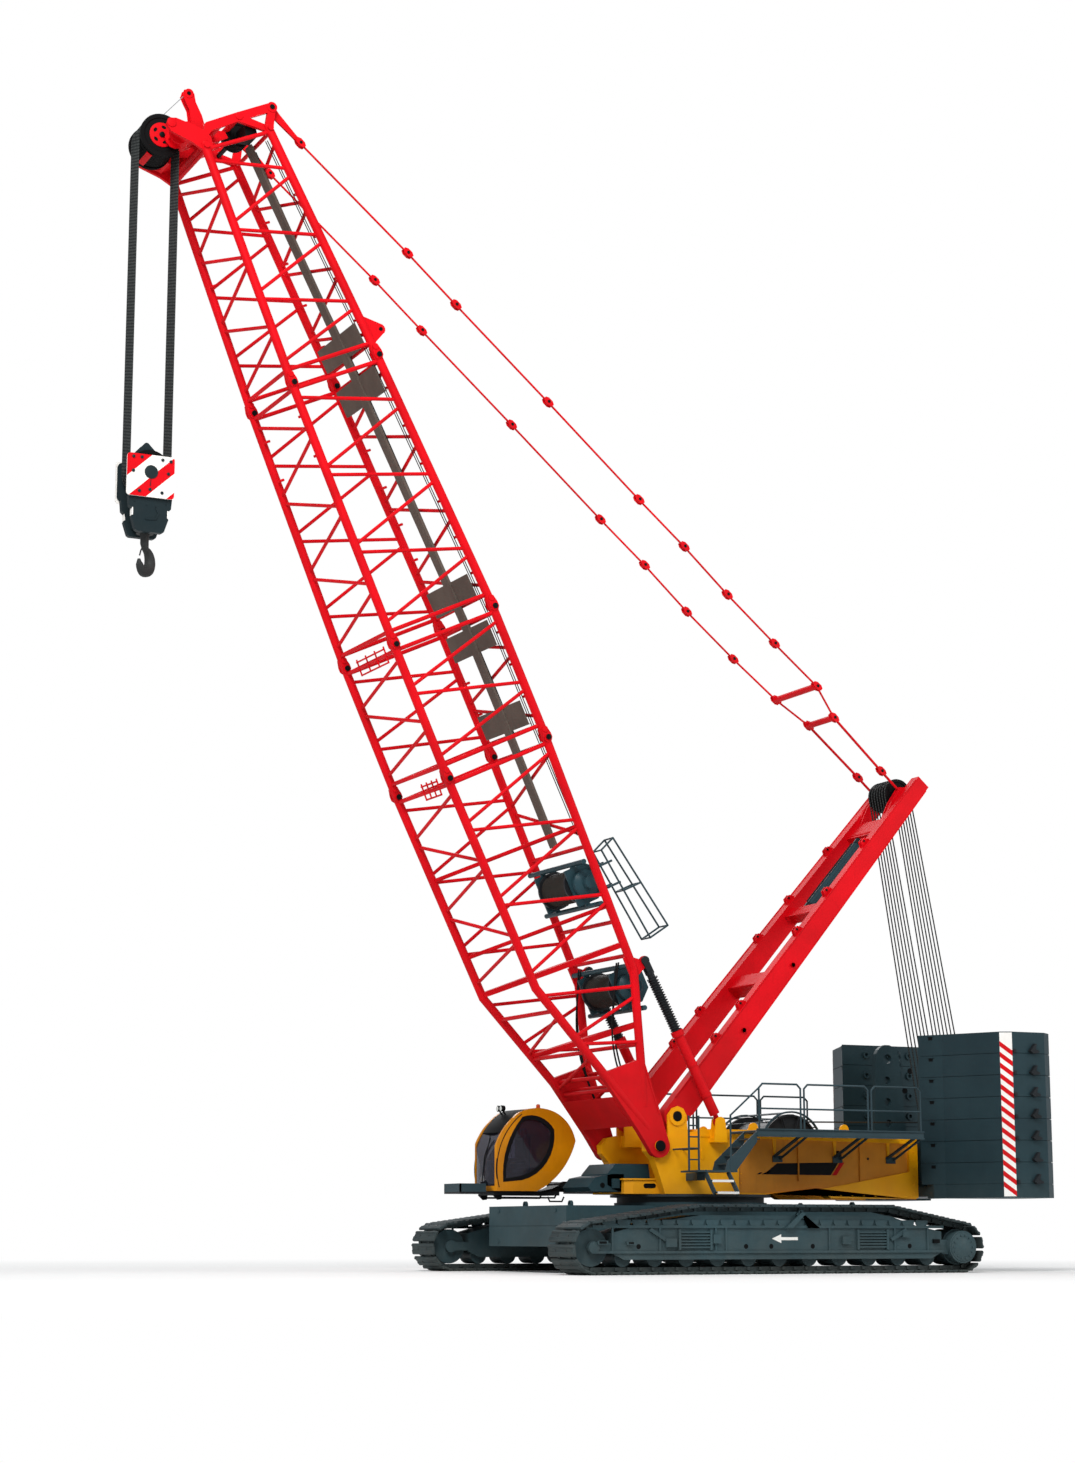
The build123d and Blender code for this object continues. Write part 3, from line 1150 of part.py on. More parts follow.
def hook_block():
    """Side plates, outer weights and the tapered lower body with its swivel seat."""
    x, z = on_boom(*HEAD_SHEAVE_AT)[0], HOOK_BLOCK_Z
    outline = ((-590, -330), (-590, 300), (-440, 500), (440, 500), (590, 300), (590, -330), (300, -760), (-300, -760))
    pieces = []
    for y in (-BLOCK_WIDTH / 2, BLOCK_WIDTH / 2 - 50):
        pieces.append(side_plate([(x + dx, z + dz) for dx, dz in outline], y, y + 50))
    lower = ((-560, -520), (560, -520), (300, -760), (260, -1180), (-260, -1180), (-300, -760))
    pieces.append(side_plate([(x + dx, z + dz) for dx, dz in lower], -BLOCK_WIDTH / 2 + 40, BLOCK_WIDTH / 2 - 40))
    pieces.append(pin((x, z), BLOCK_WIDTH / 2 - 10, BLOCK_WIDTH / 2 + 40, 330))
    pieces.append(pin((x, z), -BLOCK_WIDTH / 2 - 40, -BLOCK_WIDTH / 2 + 10, 330))
    for dx in (-540, 540):
        pieces.append(rod((x + dx, -BLOCK_WIDTH / 2 + 20, z - 380), (x + dx, BLOCK_WIDTH / 2 - 20, z - 380), 70))
    return joined(pieces)


def hook_block_sheaves():
    x, z = on_boom(*HEAD_SHEAVE_AT)[0], HOOK_BLOCK_Z
    return sheave_set((x, z), BLOCK_SHEAVE_RADIUS, list(FALLS), 80, 140, BLOCK_WIDTH / 2 - 50)


def hook():
    """Swivelling hook: a shank and a curved horn, open to the front."""
    x, z = on_boom(*HEAD_SHEAVE_AT)[0], HOOK_BLOCK_Z
    top = z - 1180 - 0.3
    shank = rod((x, 0, top), (x, 0, top - 520), 200)
    nut = rod((x, 0, top), (x, 0, top - 120), 360)
    centre = (x + 10, top - 660)
    arc = []
    for k in range(25):
        angle = math.radians(92 + 258 * k / 24)
        arc.append((centre[0] + HOOK_OPEN * math.cos(angle), centre[1] + HOOK_OPEN * math.sin(angle)))
    outer = []
    for k in range(25):
        share = k / 24
        angle = math.radians(92 + 258 * share)
        thick = HOOK_OPEN + 90 + 130 * math.sin(math.pi * share)
        outer.append((centre[0] + thick * math.cos(angle), centre[1] + thick * math.sin(angle)))
    horn = side_plate([*arc, *reversed(outer)], -100, 100)
    return joined([shank, nut, horn]).rotate(Axis((x, 0, 0), (0, 0, 1)), HOOK_TURN)


def boom_service_strip():
    """Long flat trough inside the boom's back face that guides the hoist ropes and hoses to the head."""
    marks = [(s, b) for s, _, b, _ in BOOM_STATIONS.values()]
    first, last = STRIP_FOOT, marks[3][0] - 110.0
    rows = ((first, 1139.0), marks[0], marks[1], marks[2], (last, marks[3][1] + 10))
    outline = [(s, b - STRIP_DROP) for s, b in rows] + [(s, b - STRIP_DROP - STRIP_THICK) for s, b in reversed(rows)]
    pieces = [boom_plate(outline, STRIP_Y - STRIP_WIDTH / 2, STRIP_Y + STRIP_WIDTH / 2)]
    for station, before, rise in STRIP_HANGERS:
        along, across = BOOM_STATIONS[station][0] - before, BOOM_STATIONS[station][2] + rise
        at = across - STRIP_DROP
        pieces.append(boom_plate(((along - 30, at - 5), (along + 30, at - 5), (along + 30, across - POST / 2 - 0.3),
                                  (along - 30, across - POST / 2 - 0.3)), STRIP_Y - 30, STRIP_Y + 30))
    return joined(pieces)


def boom_basket():
    """Small railed platform on the back of the foot section, on legs from the upper winch's frame."""
    pieces = []
    foot = BASKET_SEAT[1] + BASKET_TUBE / 2 + 0.2
    outline = ((6440, 1860), (4200, 2300), (4120, 1780), (6300, 1480))
    for y in (800, 1200):
        points = [on_boom(along, across, y) for along, across in outline]
        pieces += [rod(points[k], points[(k + 1) % 4], RAIL_TUBE) for k in range(4)]
        pieces += [Solid.make_sphere(RAIL_TUBE / 2, Plane(origin=at)) for at in points]
        pieces.append(rod(on_boom(5300, 1617, y), on_boom(5300, 2084, y), RAIL_TUBE))
        pieces += [rod(on_boom(along, foot, y), on_boom(along, 1620, y), 52) for along in BASKET_SEAT[0]]
    for along, across in (*outline, (5300, 2084), (5300, 1617)):
        pieces.append(rod(on_boom(along, across, 800), on_boom(along, across, 1200), RAIL_TUBE - 4))
    return joined(pieces)


# ---- Output ----

PIECES = {
    "carbody": carbody,
    "slewing_ring": slewing_ring,
    "carbody_weight_front": lambda: carbody_weight(1),
    "carbody_weight_rear": lambda: carbody_weight(-1),
    "side_frame_left": side_frame,
    "side_frame_right": lambda: mirrored(side_frame()),
    "track_left": track_loop,
    "track_right": lambda: mirrored(track_loop()),
    "front_idlers": lambda: both(idler()),
    "final_drives": lambda: both(final_drive()),
    "track_rollers": lambda: [twin for wheel in rollers() for twin in both(wheel)],
    "turntable": turntable,
    "main_frame": main_frame,
    "slewing_gear_case": front_box,
    "power_pack": power_pack,
    "walkway_left": lambda: walkway(True),
    "walkway_right": lambda: walkway(False),
    "guard_rails": lambda: [railing(True), mirrored(railing(False))],
    "access_ladder": access_ladder,
    "counterweight_tray": counterweight_tray,
    "counterweight_left": counterweight_stack,
    "counterweight_right": lambda: mirrored(counterweight_stack()),
    "rear_bracket": rear_bracket,
    "lower_luffing_sheaves": lower_luffing_sheaves,
    "luffing_drum": luffing_drum,
    "cab_mount": cab_mount,
    "cab_base": cab_base,
    "cab_shell": cab_shell,
    "cab_glass": cab_glass,
    "cab_seat": cab_floor,
    "cab_door": cab_door,
    "cab_door_glass": cab_door_glass,
    "boom_foot_section": boom_base,
    "boom_short_section": lambda: boom_insert(BOOM_STATIONS["joint_1"], BOOM_STATIONS["joint_2"], 3),
    "boom_long_section": lambda: boom_insert(BOOM_STATIONS["joint_2"], BOOM_STATIONS["joint_3"], 6),
    "boom_top_section": boom_tip,
    "boom_head_cheeks": head_shaft_plates,
    "boom_head_sheaves": head_sheaves,
    "hoist_winch_upper_frame": lambda: winch_frame(*WINCHES["hoist_winch_upper"], 1345) - boom_base(),
    "hoist_winch_lower_frame": lambda: winch_frame(*WINCHES["hoist_winch_lower"], 1310) - boom_base(),
    "hoist_drum_upper": lambda: hoist_drum("hoist_winch_upper"),
    "hoist_drum_lower": lambda: hoist_drum("hoist_winch_lower"),
    "boom_service_strip": boom_service_strip,
    "boom_basket": boom_basket,
    "mast": mast,
    "mast_head_sheaves": mast_head_sheaves,
    "mast_cylinder": mast_cylinder,
    "pendants": pendants,
    "backstop_tubes": lambda: both(backstop_tube()),
    "backstop_rods": lambda: both(backstop_rod()),
    "luffing_ropes_upper": lambda: luffing_ropes(0.0, 0.5),
    "luffing_ropes_lower": lambda: luffing_ropes(0.5, 1.0),
    "hoist_ropes": hoist_ropes,
    "hook_block": hook_block,
    "hook_block_sheaves": hook_block_sheaves,
    "hook": hook,
}

shapes = {}
for name, make in PIECES.items():
    made = make()
    shapes[name] = made if not isinstance(made, list) else Compound(children=made)

# The crane stands centred on the origin.
boxes = [shape.bounding_box() for shape in shapes.values()]
mid_x = (min(box.min.X for box in boxes) + max(box.max.X for box in boxes)) / 2
mid_y = (min(box.min.Y for box in boxes) + max(box.max.Y for box in boxes)) / 2
low_z = min(box.min.Z for box in boxes)
os.makedirs("parts", exist_ok=True)
for name, shape in shapes.items():
    export_step(shape.moved(Location((-mid_x, -mid_y, -low_z))), f"parts/{name}.step")
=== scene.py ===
import json
from math import cos, hypot, pi, radians, sin

import bpy
import numpy as np
from mathutils import Matrix, Vector


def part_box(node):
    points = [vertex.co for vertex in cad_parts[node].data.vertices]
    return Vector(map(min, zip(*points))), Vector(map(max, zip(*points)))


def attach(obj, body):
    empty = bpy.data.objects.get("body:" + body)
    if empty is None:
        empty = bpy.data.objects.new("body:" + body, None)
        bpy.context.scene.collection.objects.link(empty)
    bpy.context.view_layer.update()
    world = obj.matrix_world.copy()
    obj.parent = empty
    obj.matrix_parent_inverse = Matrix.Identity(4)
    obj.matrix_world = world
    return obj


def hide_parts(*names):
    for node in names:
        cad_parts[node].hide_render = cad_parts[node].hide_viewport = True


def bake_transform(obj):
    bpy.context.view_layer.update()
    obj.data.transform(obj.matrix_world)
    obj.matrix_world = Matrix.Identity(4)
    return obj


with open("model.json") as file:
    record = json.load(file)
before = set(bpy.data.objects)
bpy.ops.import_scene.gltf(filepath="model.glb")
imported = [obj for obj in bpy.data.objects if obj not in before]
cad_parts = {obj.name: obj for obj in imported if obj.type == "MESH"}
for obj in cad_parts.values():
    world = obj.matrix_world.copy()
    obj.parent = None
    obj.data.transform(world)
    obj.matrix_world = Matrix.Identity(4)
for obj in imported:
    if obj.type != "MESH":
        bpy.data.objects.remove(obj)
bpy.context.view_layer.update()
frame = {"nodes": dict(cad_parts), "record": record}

node = frame["nodes"]
joint = {entry["name"]: entry for entry in frame["record"]["behaviour"]["joints"]}


# ---- Camera, yard floor and daylight ----
# A low camera stands off the left front corner and looks up along the boom. The floor is pale concrete,
# and three broad soft lamps and a white sky light the crane evenly, as an overcast day does.

bpy.context.scene.view_settings.view_transform = "Standard"
FOOT_PIN = np.array(joint["boom_luff"]["pos_m"])

camera = bpy.data.objects.new("camera", bpy.data.cameras.new("camera"))
bpy.context.scene.collection.objects.link(camera)
camera.data.sensor_fit = "VERTICAL"
camera.data.sensor_height = 36.0
camera.data.lens = 66.11
camera.data.clip_end = 2000.0
CAMERA_AT = (27.79 + FOOT_PIN[0], 52.61, 0.814)
heading, pitch = radians(25.88), radians(10.59)
aim = Vector((-sin(heading) * cos(pitch), -cos(heading) * cos(pitch), sin(pitch)))
camera.matrix_world = Matrix.Translation(CAMERA_AT) @ aim.to_track_quat("-Z", "Y").to_matrix().to_4x4()
bpy.context.scene.camera = camera


def linear(code):
    """sRGB hex text to linear red, green, blue and an alpha of 1."""
    value = np.array([int(code[k : k + 2], 16) / 255 for k in (0, 2, 4)])
    value = np.where(value <= 0.04045, value / 12.92, ((value + 0.055) / 1.055) ** 2.4)
    return (*value.tolist(), 1.0)


def add(tree, kind, inputs=None, **settings):
    """Adds one shader node: settings are its own properties, inputs gives each socket a value or a link."""
    new = tree.nodes.new("ShaderNode" + kind)
    for key, value in settings.items():
        setattr(new, key, value)
    for key, value in (inputs or {}).items():
        if isinstance(value, bpy.types.NodeSocket):
            tree.links.new(value, new.inputs[key])
        else:
            new.inputs[key].default_value = value
    return new


def material(name):
    """An empty node material with its output, and the tree to fill."""
    made = bpy.data.materials.new(name)
    made.use_nodes = True
    made.node_tree.nodes.clear()
    return made, made.node_tree, made.node_tree.nodes.new("ShaderNodeOutputMaterial")


# Brushed concrete, cast in place: pale grey with faint clouding and a dull face.
concrete, tree, out = material("pale_concrete_floor")
place = add(tree, "TexCoord")
cloud = add(tree, "TexNoise", {"Vector": place.outputs["Object"], "Scale": 0.15, "Detail": 4.0})
tone = add(tree, "ValToRGB", {"Fac": cloud.outputs["Fac"]})
tone.color_ramp.elements[0].color = linear("EDEDEB")
tone.color_ramp.elements[1].color = linear("F4F4F2")
face = add(tree, "BsdfPrincipled", {"Base Color": tone.outputs["Color"], "Roughness": 0.9})
# From 11 m to 32 m from the crane the slab melts into the bright haze behind it.
far = add(tree, "VectorMath", {0: place.outputs["Object"]}, operation="LENGTH")
haze = add(tree, "MapRange", {"Value": far.outputs["Value"], "From Min": 11.0, "From Max": 32.0})
glow = add(tree, "Emission", {"Color": linear("FFFFFF"), "Strength": 1.0})
ground = add(tree, "MixShader", {"Fac": haze.outputs[0], 1: face.outputs["BSDF"], 2: glow.outputs[0]})
tree.links.new(ground.outputs[0], out.inputs["Surface"])

floor_mesh = bpy.data.meshes.new("yard_floor")
floor_mesh.from_pydata([(-400, -400, 0), (400, -400, 0), (400, 400, 0), (-400, 400, 0)], [], [(0, 1, 2, 3)])
floor = bpy.data.objects.new("yard_floor", floor_mesh)
bpy.context.scene.collection.objects.link(floor)
floor.data.materials.append(concrete)

sky = bpy.data.worlds.new("white_sky")
sky.use_nodes = True
bpy.context.scene.world = sky
tree = sky.node_tree
tree.nodes.clear()
rays = add(tree, "LightPath")
seen = add(tree, "Math", {0: rays.outputs["Is Camera Ray"], 1: rays.outputs["Is Transmission Ray"]},
           operation="MAXIMUM")
shown = add(tree, "Background", {"Color": linear("FFFFFF"), "Strength": 1.0})
lighting = add(tree, "Background", {"Color": linear("EEF2F8"), "Strength": 0.42})
pick = add(tree, "MixShader", {"Fac": seen.outputs[0], 1: lighting.outputs[0], 2: shown.outputs[0]})
tree.links.new(pick.outputs[0], tree.nodes.new("ShaderNodeOutputWorld").inputs["Surface"])

# Each lamp: name, place, side in metres, power.
for name, at, side, power in (
    ("key_lamp", (28.0, 34.0, 44.0), 26.0, 26000.0),
    ("fill_lamp", (-32.0, 26.0, 24.0), 24.0, 5600.0),
    ("back_lamp", (-10.0, -40.0, 34.0), 24.0, 7500.0),
):
    lamp = bpy.data.lights.new(name, "AREA")
    lamp.size, lamp.energy = side, power
    holder = bpy.data.objects.new(name, lamp)
    bpy.context.scene.collection.objects.link(holder)
    turn = (Vector((0.0, 0.0, 9.0)) - Vector(at)).to_track_quat("-Z", "Y").to_matrix().to_4x4()
    holder.matrix_world = Matrix.Translation(at) @ turn


# ---- Carbody, its weights and the slewing ring ----
# Welded steel boxes under slate two-pack paint, rolled on and dulled by dust. The weights are castings that
# hang on the front and rear of the carbody, and the ring is a bolted steel bearing between the two halves.


def paint(name, colour, shade, dust, roughness=0.38, coat=0.06, chips=0.035, low=0.0, high=1.0):
    """Rolled or sprayed machine paint: colour clouded towards shade by broad noise, small chips to dark
    primer, and a dust film that is full at `low` metres and thin above `high`."""
    made, tree, out = material(name)
    place = add(tree, "TexCoord")
    where = place.outputs["Object"]
    broad = add(tree, "TexNoise", {"Vector": where, "Scale": 0.7, "Detail": 5.0, "Roughness": 0.6})
    base = add(tree, "ValToRGB", {"Fac": broad.outputs["Fac"]})
    base.color_ramp.elements[0].position, base.color_ramp.elements[1].position = 0.35, 0.68
    base.color_ramp.elements[0].color, base.color_ramp.elements[1].color = linear(shade), linear(colour)
    # Rain draws faint streaks down a face, 30 to 80 mm apart.
    squeeze = add(tree, "Mapping", {"Vector": where, "Scale": (14.0, 14.0, 0.9)})
    streak = add(tree, "TexNoise", {"Vector": squeeze.outputs[0], "Scale": 1.0, "Detail": 4.0,
                                    "Roughness": 0.6})
    run = add(tree, "MapRange", {"Value": streak.outputs["Fac"], "From Min": 0.52, "From Max": 0.8,
                                 "To Max": 0.45})
    washed = add(tree, "Mix", {0: run.outputs[0], 6: base.outputs["Color"], 7: linear(shade)},
                 data_type="RGBA")
    # Chips are 10 to 30 mm across.
    fine = add(tree, "TexNoise", {"Vector": where, "Scale": 9.0, "Detail": 8.0, "Roughness": 0.75})
    chip = add(tree, "MapRange", {"Value": fine.outputs["Fac"], "From Min": 0.73 - chips,
                                  "From Max": 0.76 - chips})
    worn = add(tree, "Mix", {0: chip.outputs[0], 6: washed.outputs[2], 7: linear("2B2523")}, data_type="RGBA")
    height = add(tree, "SeparateXYZ", {"Vector": where})
    film = add(tree, "MapRange", {"Value": height.outputs["Z"], "From Min": low, "From Max": high,
                                  "To Min": 0.5, "To Max": 0.04})
    drift = add(tree, "TexNoise", {"Vector": where, "Scale": 2.2, "Detail": 7.0, "Roughness": 0.7})
    amount = add(tree, "Math", {0: film.outputs[0], 1: drift.outputs["Fac"]}, operation="MULTIPLY")
    dusty = add(tree, "Mix", {0: amount.outputs[0], 6: worn.outputs[2], 7: linear(dust)}, data_type="RGBA")
    rough = add(tree, "MapRange", {"Value": amount.outputs[0], "To Min": roughness, "To Max": 0.95})
    bump = add(tree, "Bump", {"Height": fine.outputs["Fac"], "Strength": 0.12, "Distance": 0.004})
    face = add(tree, "BsdfPrincipled", {"Roughness": rough.outputs[0], "Normal": bump.outputs[0],
                                        "Coat Weight": coat, "Coat Roughness": 0.2,
                                        "Specular IOR Level": 0.1})
    tree.links.new(dusty.outputs[2], face.inputs["Base Color"])
    tree.links.new(face.outputs["BSDF"], out.inputs["Surface"])
    return made


def finish_node(made, *names):
    """Gives CAD nodes this material in every slot."""
    for name in names:
        data = node[name].data
        if not data.materials:
            data.materials.append(made)
        for k in range(len(data.materials)):
            data.materials[k] = made


def build(name, groups, made, body, slot, *replaced):
    """One mesh over groups of rings: rings[k, i, j] is point j of ring i of copy k. Each ring closes on
    itself and joins the next; the end rings are capped, or joined to each other where the group is given as
    (rings, True). Where the enclosed volume, the sum of a . (b x c) / 6 over its triangles, is negative, the
    order round the rings is reversed, so that faces point outwards. The piece stands in for the CAD nodes
    named in replaced."""
    points, faces, start = [], [], 0
    for group in groups:
        rings, closed = group if isinstance(group, tuple) else (group, False)
        rings = np.asarray(rings, float)
        rings = rings[None] if rings.ndim == 3 else rings
        copies, rows, around, _ = rings.shape
        here = rings if closed else rings[:, :-1]
        after = np.roll(rings, -1, axis=1) if closed else rings[:, 1:]
        a, b, c, d = here, after, np.roll(after, -1, axis=2), np.roll(here, -1, axis=2)
        volume = (a * np.cross(b, c) + a * np.cross(c, d)).sum(axis=(1, 2, 3))
        if not closed:
            first, last = rings[:, 0], rings[:, -1, ::-1]
            for cap in (first, last):
                volume = volume + (cap[:, :1] * np.cross(cap[:, 1:-1], cap[:, 2:])).sum(axis=(1, 2))
        rings = np.where(volume[:, None, None, None] < 0, rings[:, :, ::-1], rings)
        index = start + np.arange(copies * rows * around).reshape(copies, rows, around)
        here = index if closed else index[:, :-1]
        after = np.roll(index, -1, axis=1) if closed else index[:, 1:]
        quads = np.stack([here, after, np.roll(after, -1, axis=2), np.roll(here, -1, axis=2)], axis=-1)
        faces += quads.reshape(-1, 4).tolist()
        if not closed:
            faces += index[:, 0].tolist() + index[:, -1, ::-1].tolist()
        points.append(rings.reshape(-1, 3))
        start += copies * rows * around
    mesh = bpy.data.meshes.new(name)
    mesh.from_pydata(np.concatenate(points).tolist(), [], faces)
    mesh.shade_smooth()
    mesh.set_sharp_from_angle(angle=radians(38))
    mesh.materials.append(made)
    piece = bpy.data.objects.new(name, mesh)
    bpy.context.scene.collection.objects.link(piece)
    if body:
        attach(piece, body)
    if replaced:
        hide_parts(*replaced)
    return piece


def mirrored(groups):
    """The same rings on the other side of the crane: y becomes -y."""
    flip = np.array((1.0, -1.0, 1.0))
    return [(g[0] * flip, g[1]) if isinstance(g, tuple) else np.asarray(g) * flip for g in groups]


def pair(name, groups, made, body, slot):
    """A piece on the left side, and its mirror image on the right."""
    build(name + "_left", groups, made, body, slot)
    build(name + "_right", mirrored(groups), made, body, slot)


def upright(x, y, z):
    """Points given in metres from the boom foot pin along x, and from the ground, in the row's frame."""
    return np.stack(np.broadcast_arrays(np.add(x, FOOT_PIN[0]), y, z), axis=-1).astype(float)


def beside(y, way=1.0):
    """Layout on a vertical fore-and-aft plane at y: u along x from the boom foot pin, v up, w out from it."""
    return lambda u, v, w: upright(u, y + way * np.asarray(w, float), v)


side_on = beside(0.0)


def end_on(u, v, w):
    """Lies on a vertical plane across the crane: u across, v up, w along x from the boom foot pin."""
    return upright(w, u, v)


def flat_on(u, v, w):
    """Lies level: u along x from the boom foot pin, v across, w up."""
    return upright(u, v, w)


def slab(outline, low, high, lay):
    """A plate: the closed outline (u, v) at w = low and again at w = high."""
    outline = np.asarray(outline, float)
    return np.stack([lay(outline[:, 0], outline[:, 1], w) for w in (low, high)])


def blocks(boxes):
    """Boxes, each ((x0, x1), (y0, y1), (z0, z1)) from the boom foot pin: a four-cornered ring at either z."""
    limits = np.asarray(boxes, float).reshape(-1, 3, 2)
    x, y, z = limits[:, 0], limits[:, 1], limits[:, 2]
    corner_x, corner_y = x[:, [0, 1, 1, 0]], y[:, [0, 0, 1, 1]]
    return np.stack([upright(corner_x, corner_y, z[:, k, None]) for k in (0, 1)], axis=1)


def turned(profile, centres, lay, sides=20):
    """Turned shapes: each (radius r, height h) of the profile is a ring, the points
    centre + r (cos a, sin a) in the plane and h along the axis. centres holds (u, v) or (u, v, w) for every
    copy, or for the only one."""
    profile, centres = np.asarray(profile, float), np.atleast_2d(np.asarray(centres, float))
    if centres.shape[1] == 2:
        centres = np.pad(centres, ((0, 0), (0, 1)))
    a = np.arange(sides) * 2 * pi / sides
    u = centres[:, 0, None, None] + profile[:, 0, None] * np.cos(a)
    v = centres[:, 1, None, None] + profile[:, 0, None] * np.sin(a)
    w = centres[:, 2, None, None] + profile[:, 1, None] + 0 * a
    return lay(u, v, w)


def middle_of(name):
    """Middle of a CAD node's box: x from the boom foot pin, and z."""
    low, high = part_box(name)
    return (low.x + high.x) / 2 - FOOT_PIN[0], (low.z + high.z) / 2


def tube(paths, radius, sides=8):
    """Round bars along paths[k, i]: round each point, radius (n cos a + b sin a), where n and b are square to
    the direction of travel there, the mean of the runs before and after it."""
    paths = np.asarray(paths, float)
    paths = paths[None] if paths.ndim == 2 else paths
    run = np.diff(paths, axis=1)
    run /= np.linalg.norm(run, axis=2, keepdims=True)
    way = np.concatenate([run[:, :1], run[:, :-1] + run[:, 1:], run[:, -1:]], axis=1)
    way /= np.linalg.norm(way, axis=2, keepdims=True)
    least = np.abs(way).sum(axis=1).argmin(axis=1)
    n = np.cross(way, np.eye(3)[least][:, None, :])
    n /= np.linalg.norm(n, axis=2, keepdims=True)
    b = np.cross(way, n)
    a = (np.arange(sides) * 2 * pi / sides)[:, None]
    return paths[:, :, None] + radius * (n[:, :, None] * np.cos(a) + b[:, :, None] * np.sin(a))


slate = paint("slate_machine_paint", "28464E", "1E373E", "6A6C66", roughness=0.42, coat=0.06, low=0.1,
              high=2.0)
machined = paint("oiled_machined_steel", "3A4043", "2B3032", "6E675C", roughness=0.45, coat=0.0)
finish_node(slate, "carbody", "carbody_weight_front", "carbody_weight_rear", "side_frame_left",
            "side_frame_right", "front_idlers", "final_drives", "track_rollers")
finish_node(machined, "slewing_ring", "turntable")

# Sixty capped bolts stand on the bearing's outer flange, on the ring's own centre.
low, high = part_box("slewing_ring")
bolt_circle = (high.x - low.x) / 2 - 0.09
a = np.arange(60) * 2 * pi / 60
seats = np.stack([middle_of("slewing_ring")[0] + bolt_circle * np.cos(a), bolt_circle * np.sin(a),
                  0 * a + high.z], axis=1)
build("slewing_ring_bolts", [turned(((0.03, -0.01), (0.03, 0.028), (0.02, 0.04)), seats - (0, 0, 0.05),
                                    flat_on, 6)], machined, "undercarriage", "dark_steel")

# Lifting eyes and fixing bolts of the hung weights.
groups = []
for name, outward in (("carbody_weight_front", 1), ("carbody_weight_rear", -1)):
    low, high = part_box(name)
    face = (high.x if outward > 0 else low.x) - FOOT_PIN[0]
    for y in (-1.1, 1.1):
        centre = (y, high.z + 0.035, face - outward * 0.5)
        eye = turned(((0.075, -0.03), (0.075, 0.03), (0.04, 0.03), (0.04, -0.03)), centre, end_on, 20)
        groups.append((eye, True))
    heads = [(y, z, face - outward * 0.012) for y in (-1.4, 1.4) for z in (low.z + 0.1, high.z - 0.1)]
    groups.append(turned(((0.045, 0), (0.045, outward * 0.03)), heads, end_on, 6))
build("carbody_weight_eyes", groups, slate, "undercarriage", "slate_paint")


# ---- Track chains ----
# Two chains of cast steel shoes pinned to forged links. Each shoe is a flat pad with a bevelled lip and two
# low bars across it; it is bolted to a pair of links, and dried mud dulls the lower run.

chain_steel = paint("worn_cast_track_shoes", "2A3D43", "1C282C", "6E6C62", roughness=0.5, coat=0.0, low=0.0,
                    high=1.9)

TRACK_Y = 3.48
PITCH_COUNT = 74
SLEW_X = joint["slew"]["pos_m"][0] - FOOT_PIN[0]


def chain_line(share):
    """Point, forward direction and outward normal at a share of the way round the chain. The line wraps four
    circles (x, z, radius); each run touches two of them, at the angle of the line between their centres less
    90 degrees, plus asin((r1 - r2) / distance)."""
    low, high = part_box("track_left")
    wheel, skid = 0.48, 0.26
    axle = low.z + 0.06 + wheel
    front, rear = high.x - FOOT_PIN[0] - 0.06 - wheel, low.x - FOOT_PIN[0] + 0.06 + wheel
    skid_z = high.z - 0.06 - skid
    circles = np.array([(front, axle, wheel), (SLEW_X + 1.925, skid_z, skid), (SLEW_X - 2.625, skid_z, skid),
                        (rear, axle, wheel)])
    there = np.roll(circles, -1, axis=0)
    step = there[:, :2] - circles[:, :2]
    reach = np.hypot(*step.T)
    normal = np.arctan2(step[:, 1], step[:, 0]) - pi / 2 + np.arcsin((circles[:, 2] - there[:, 2]) / reach)
    before = np.roll(normal, 1)
    turn = np.mod(normal - before, 2 * pi)
    arc = circles[:, 2] * turn
    run = np.sqrt(reach**2 - (circles[:, 2] - there[:, 2]) ** 2)
    ends = np.cumsum(np.stack([arc, run], axis=1).ravel())
    distance = np.mod(share, 1.0) * ends[-1]
    span = np.searchsorted(ends, distance, side="right").clip(0, 7)
    left = distance - np.concatenate([[0.0], ends])[span]
    k, straight = span // 2, span % 2 == 1
    angle = np.where(straight, normal[k], before[k] + np.where(arc[k] > 0, left / circles[k, 2], 0))
    out = np.stack([np.cos(angle), np.sin(angle)], axis=-1)
    ahead = np.stack([-out[:, 1], out[:, 0]], axis=-1)
    point = circles[k, :2] + circles[k, 2, None] * out + np.where(straight, left, 0)[:, None] * ahead
    return point, ahead, out


def shoes(profile, across, shares, middle):
    """Shoe parts: the closed profile (travel t, height h), at each (offset y, scale) across the track,
    placed as chain point + t * forward + scale * h * outward at every share of the chain."""
    point, ahead, out = chain_line(shares)
    profile, across = np.asarray(profile, float), np.asarray(across, float)
    t = profile[:, 0] * np.where(across[:, 1:2] < 1, 0.94, 1.0)
    h = profile[:, 1] * across[:, 1:2]
    flat = point[:, None, None] + t[..., None] * ahead[:, None, None] + h[..., None] * out[:, None, None]
    return upright(flat[..., 0], middle + across[:, :1] + 0 * t, flat[..., 1])


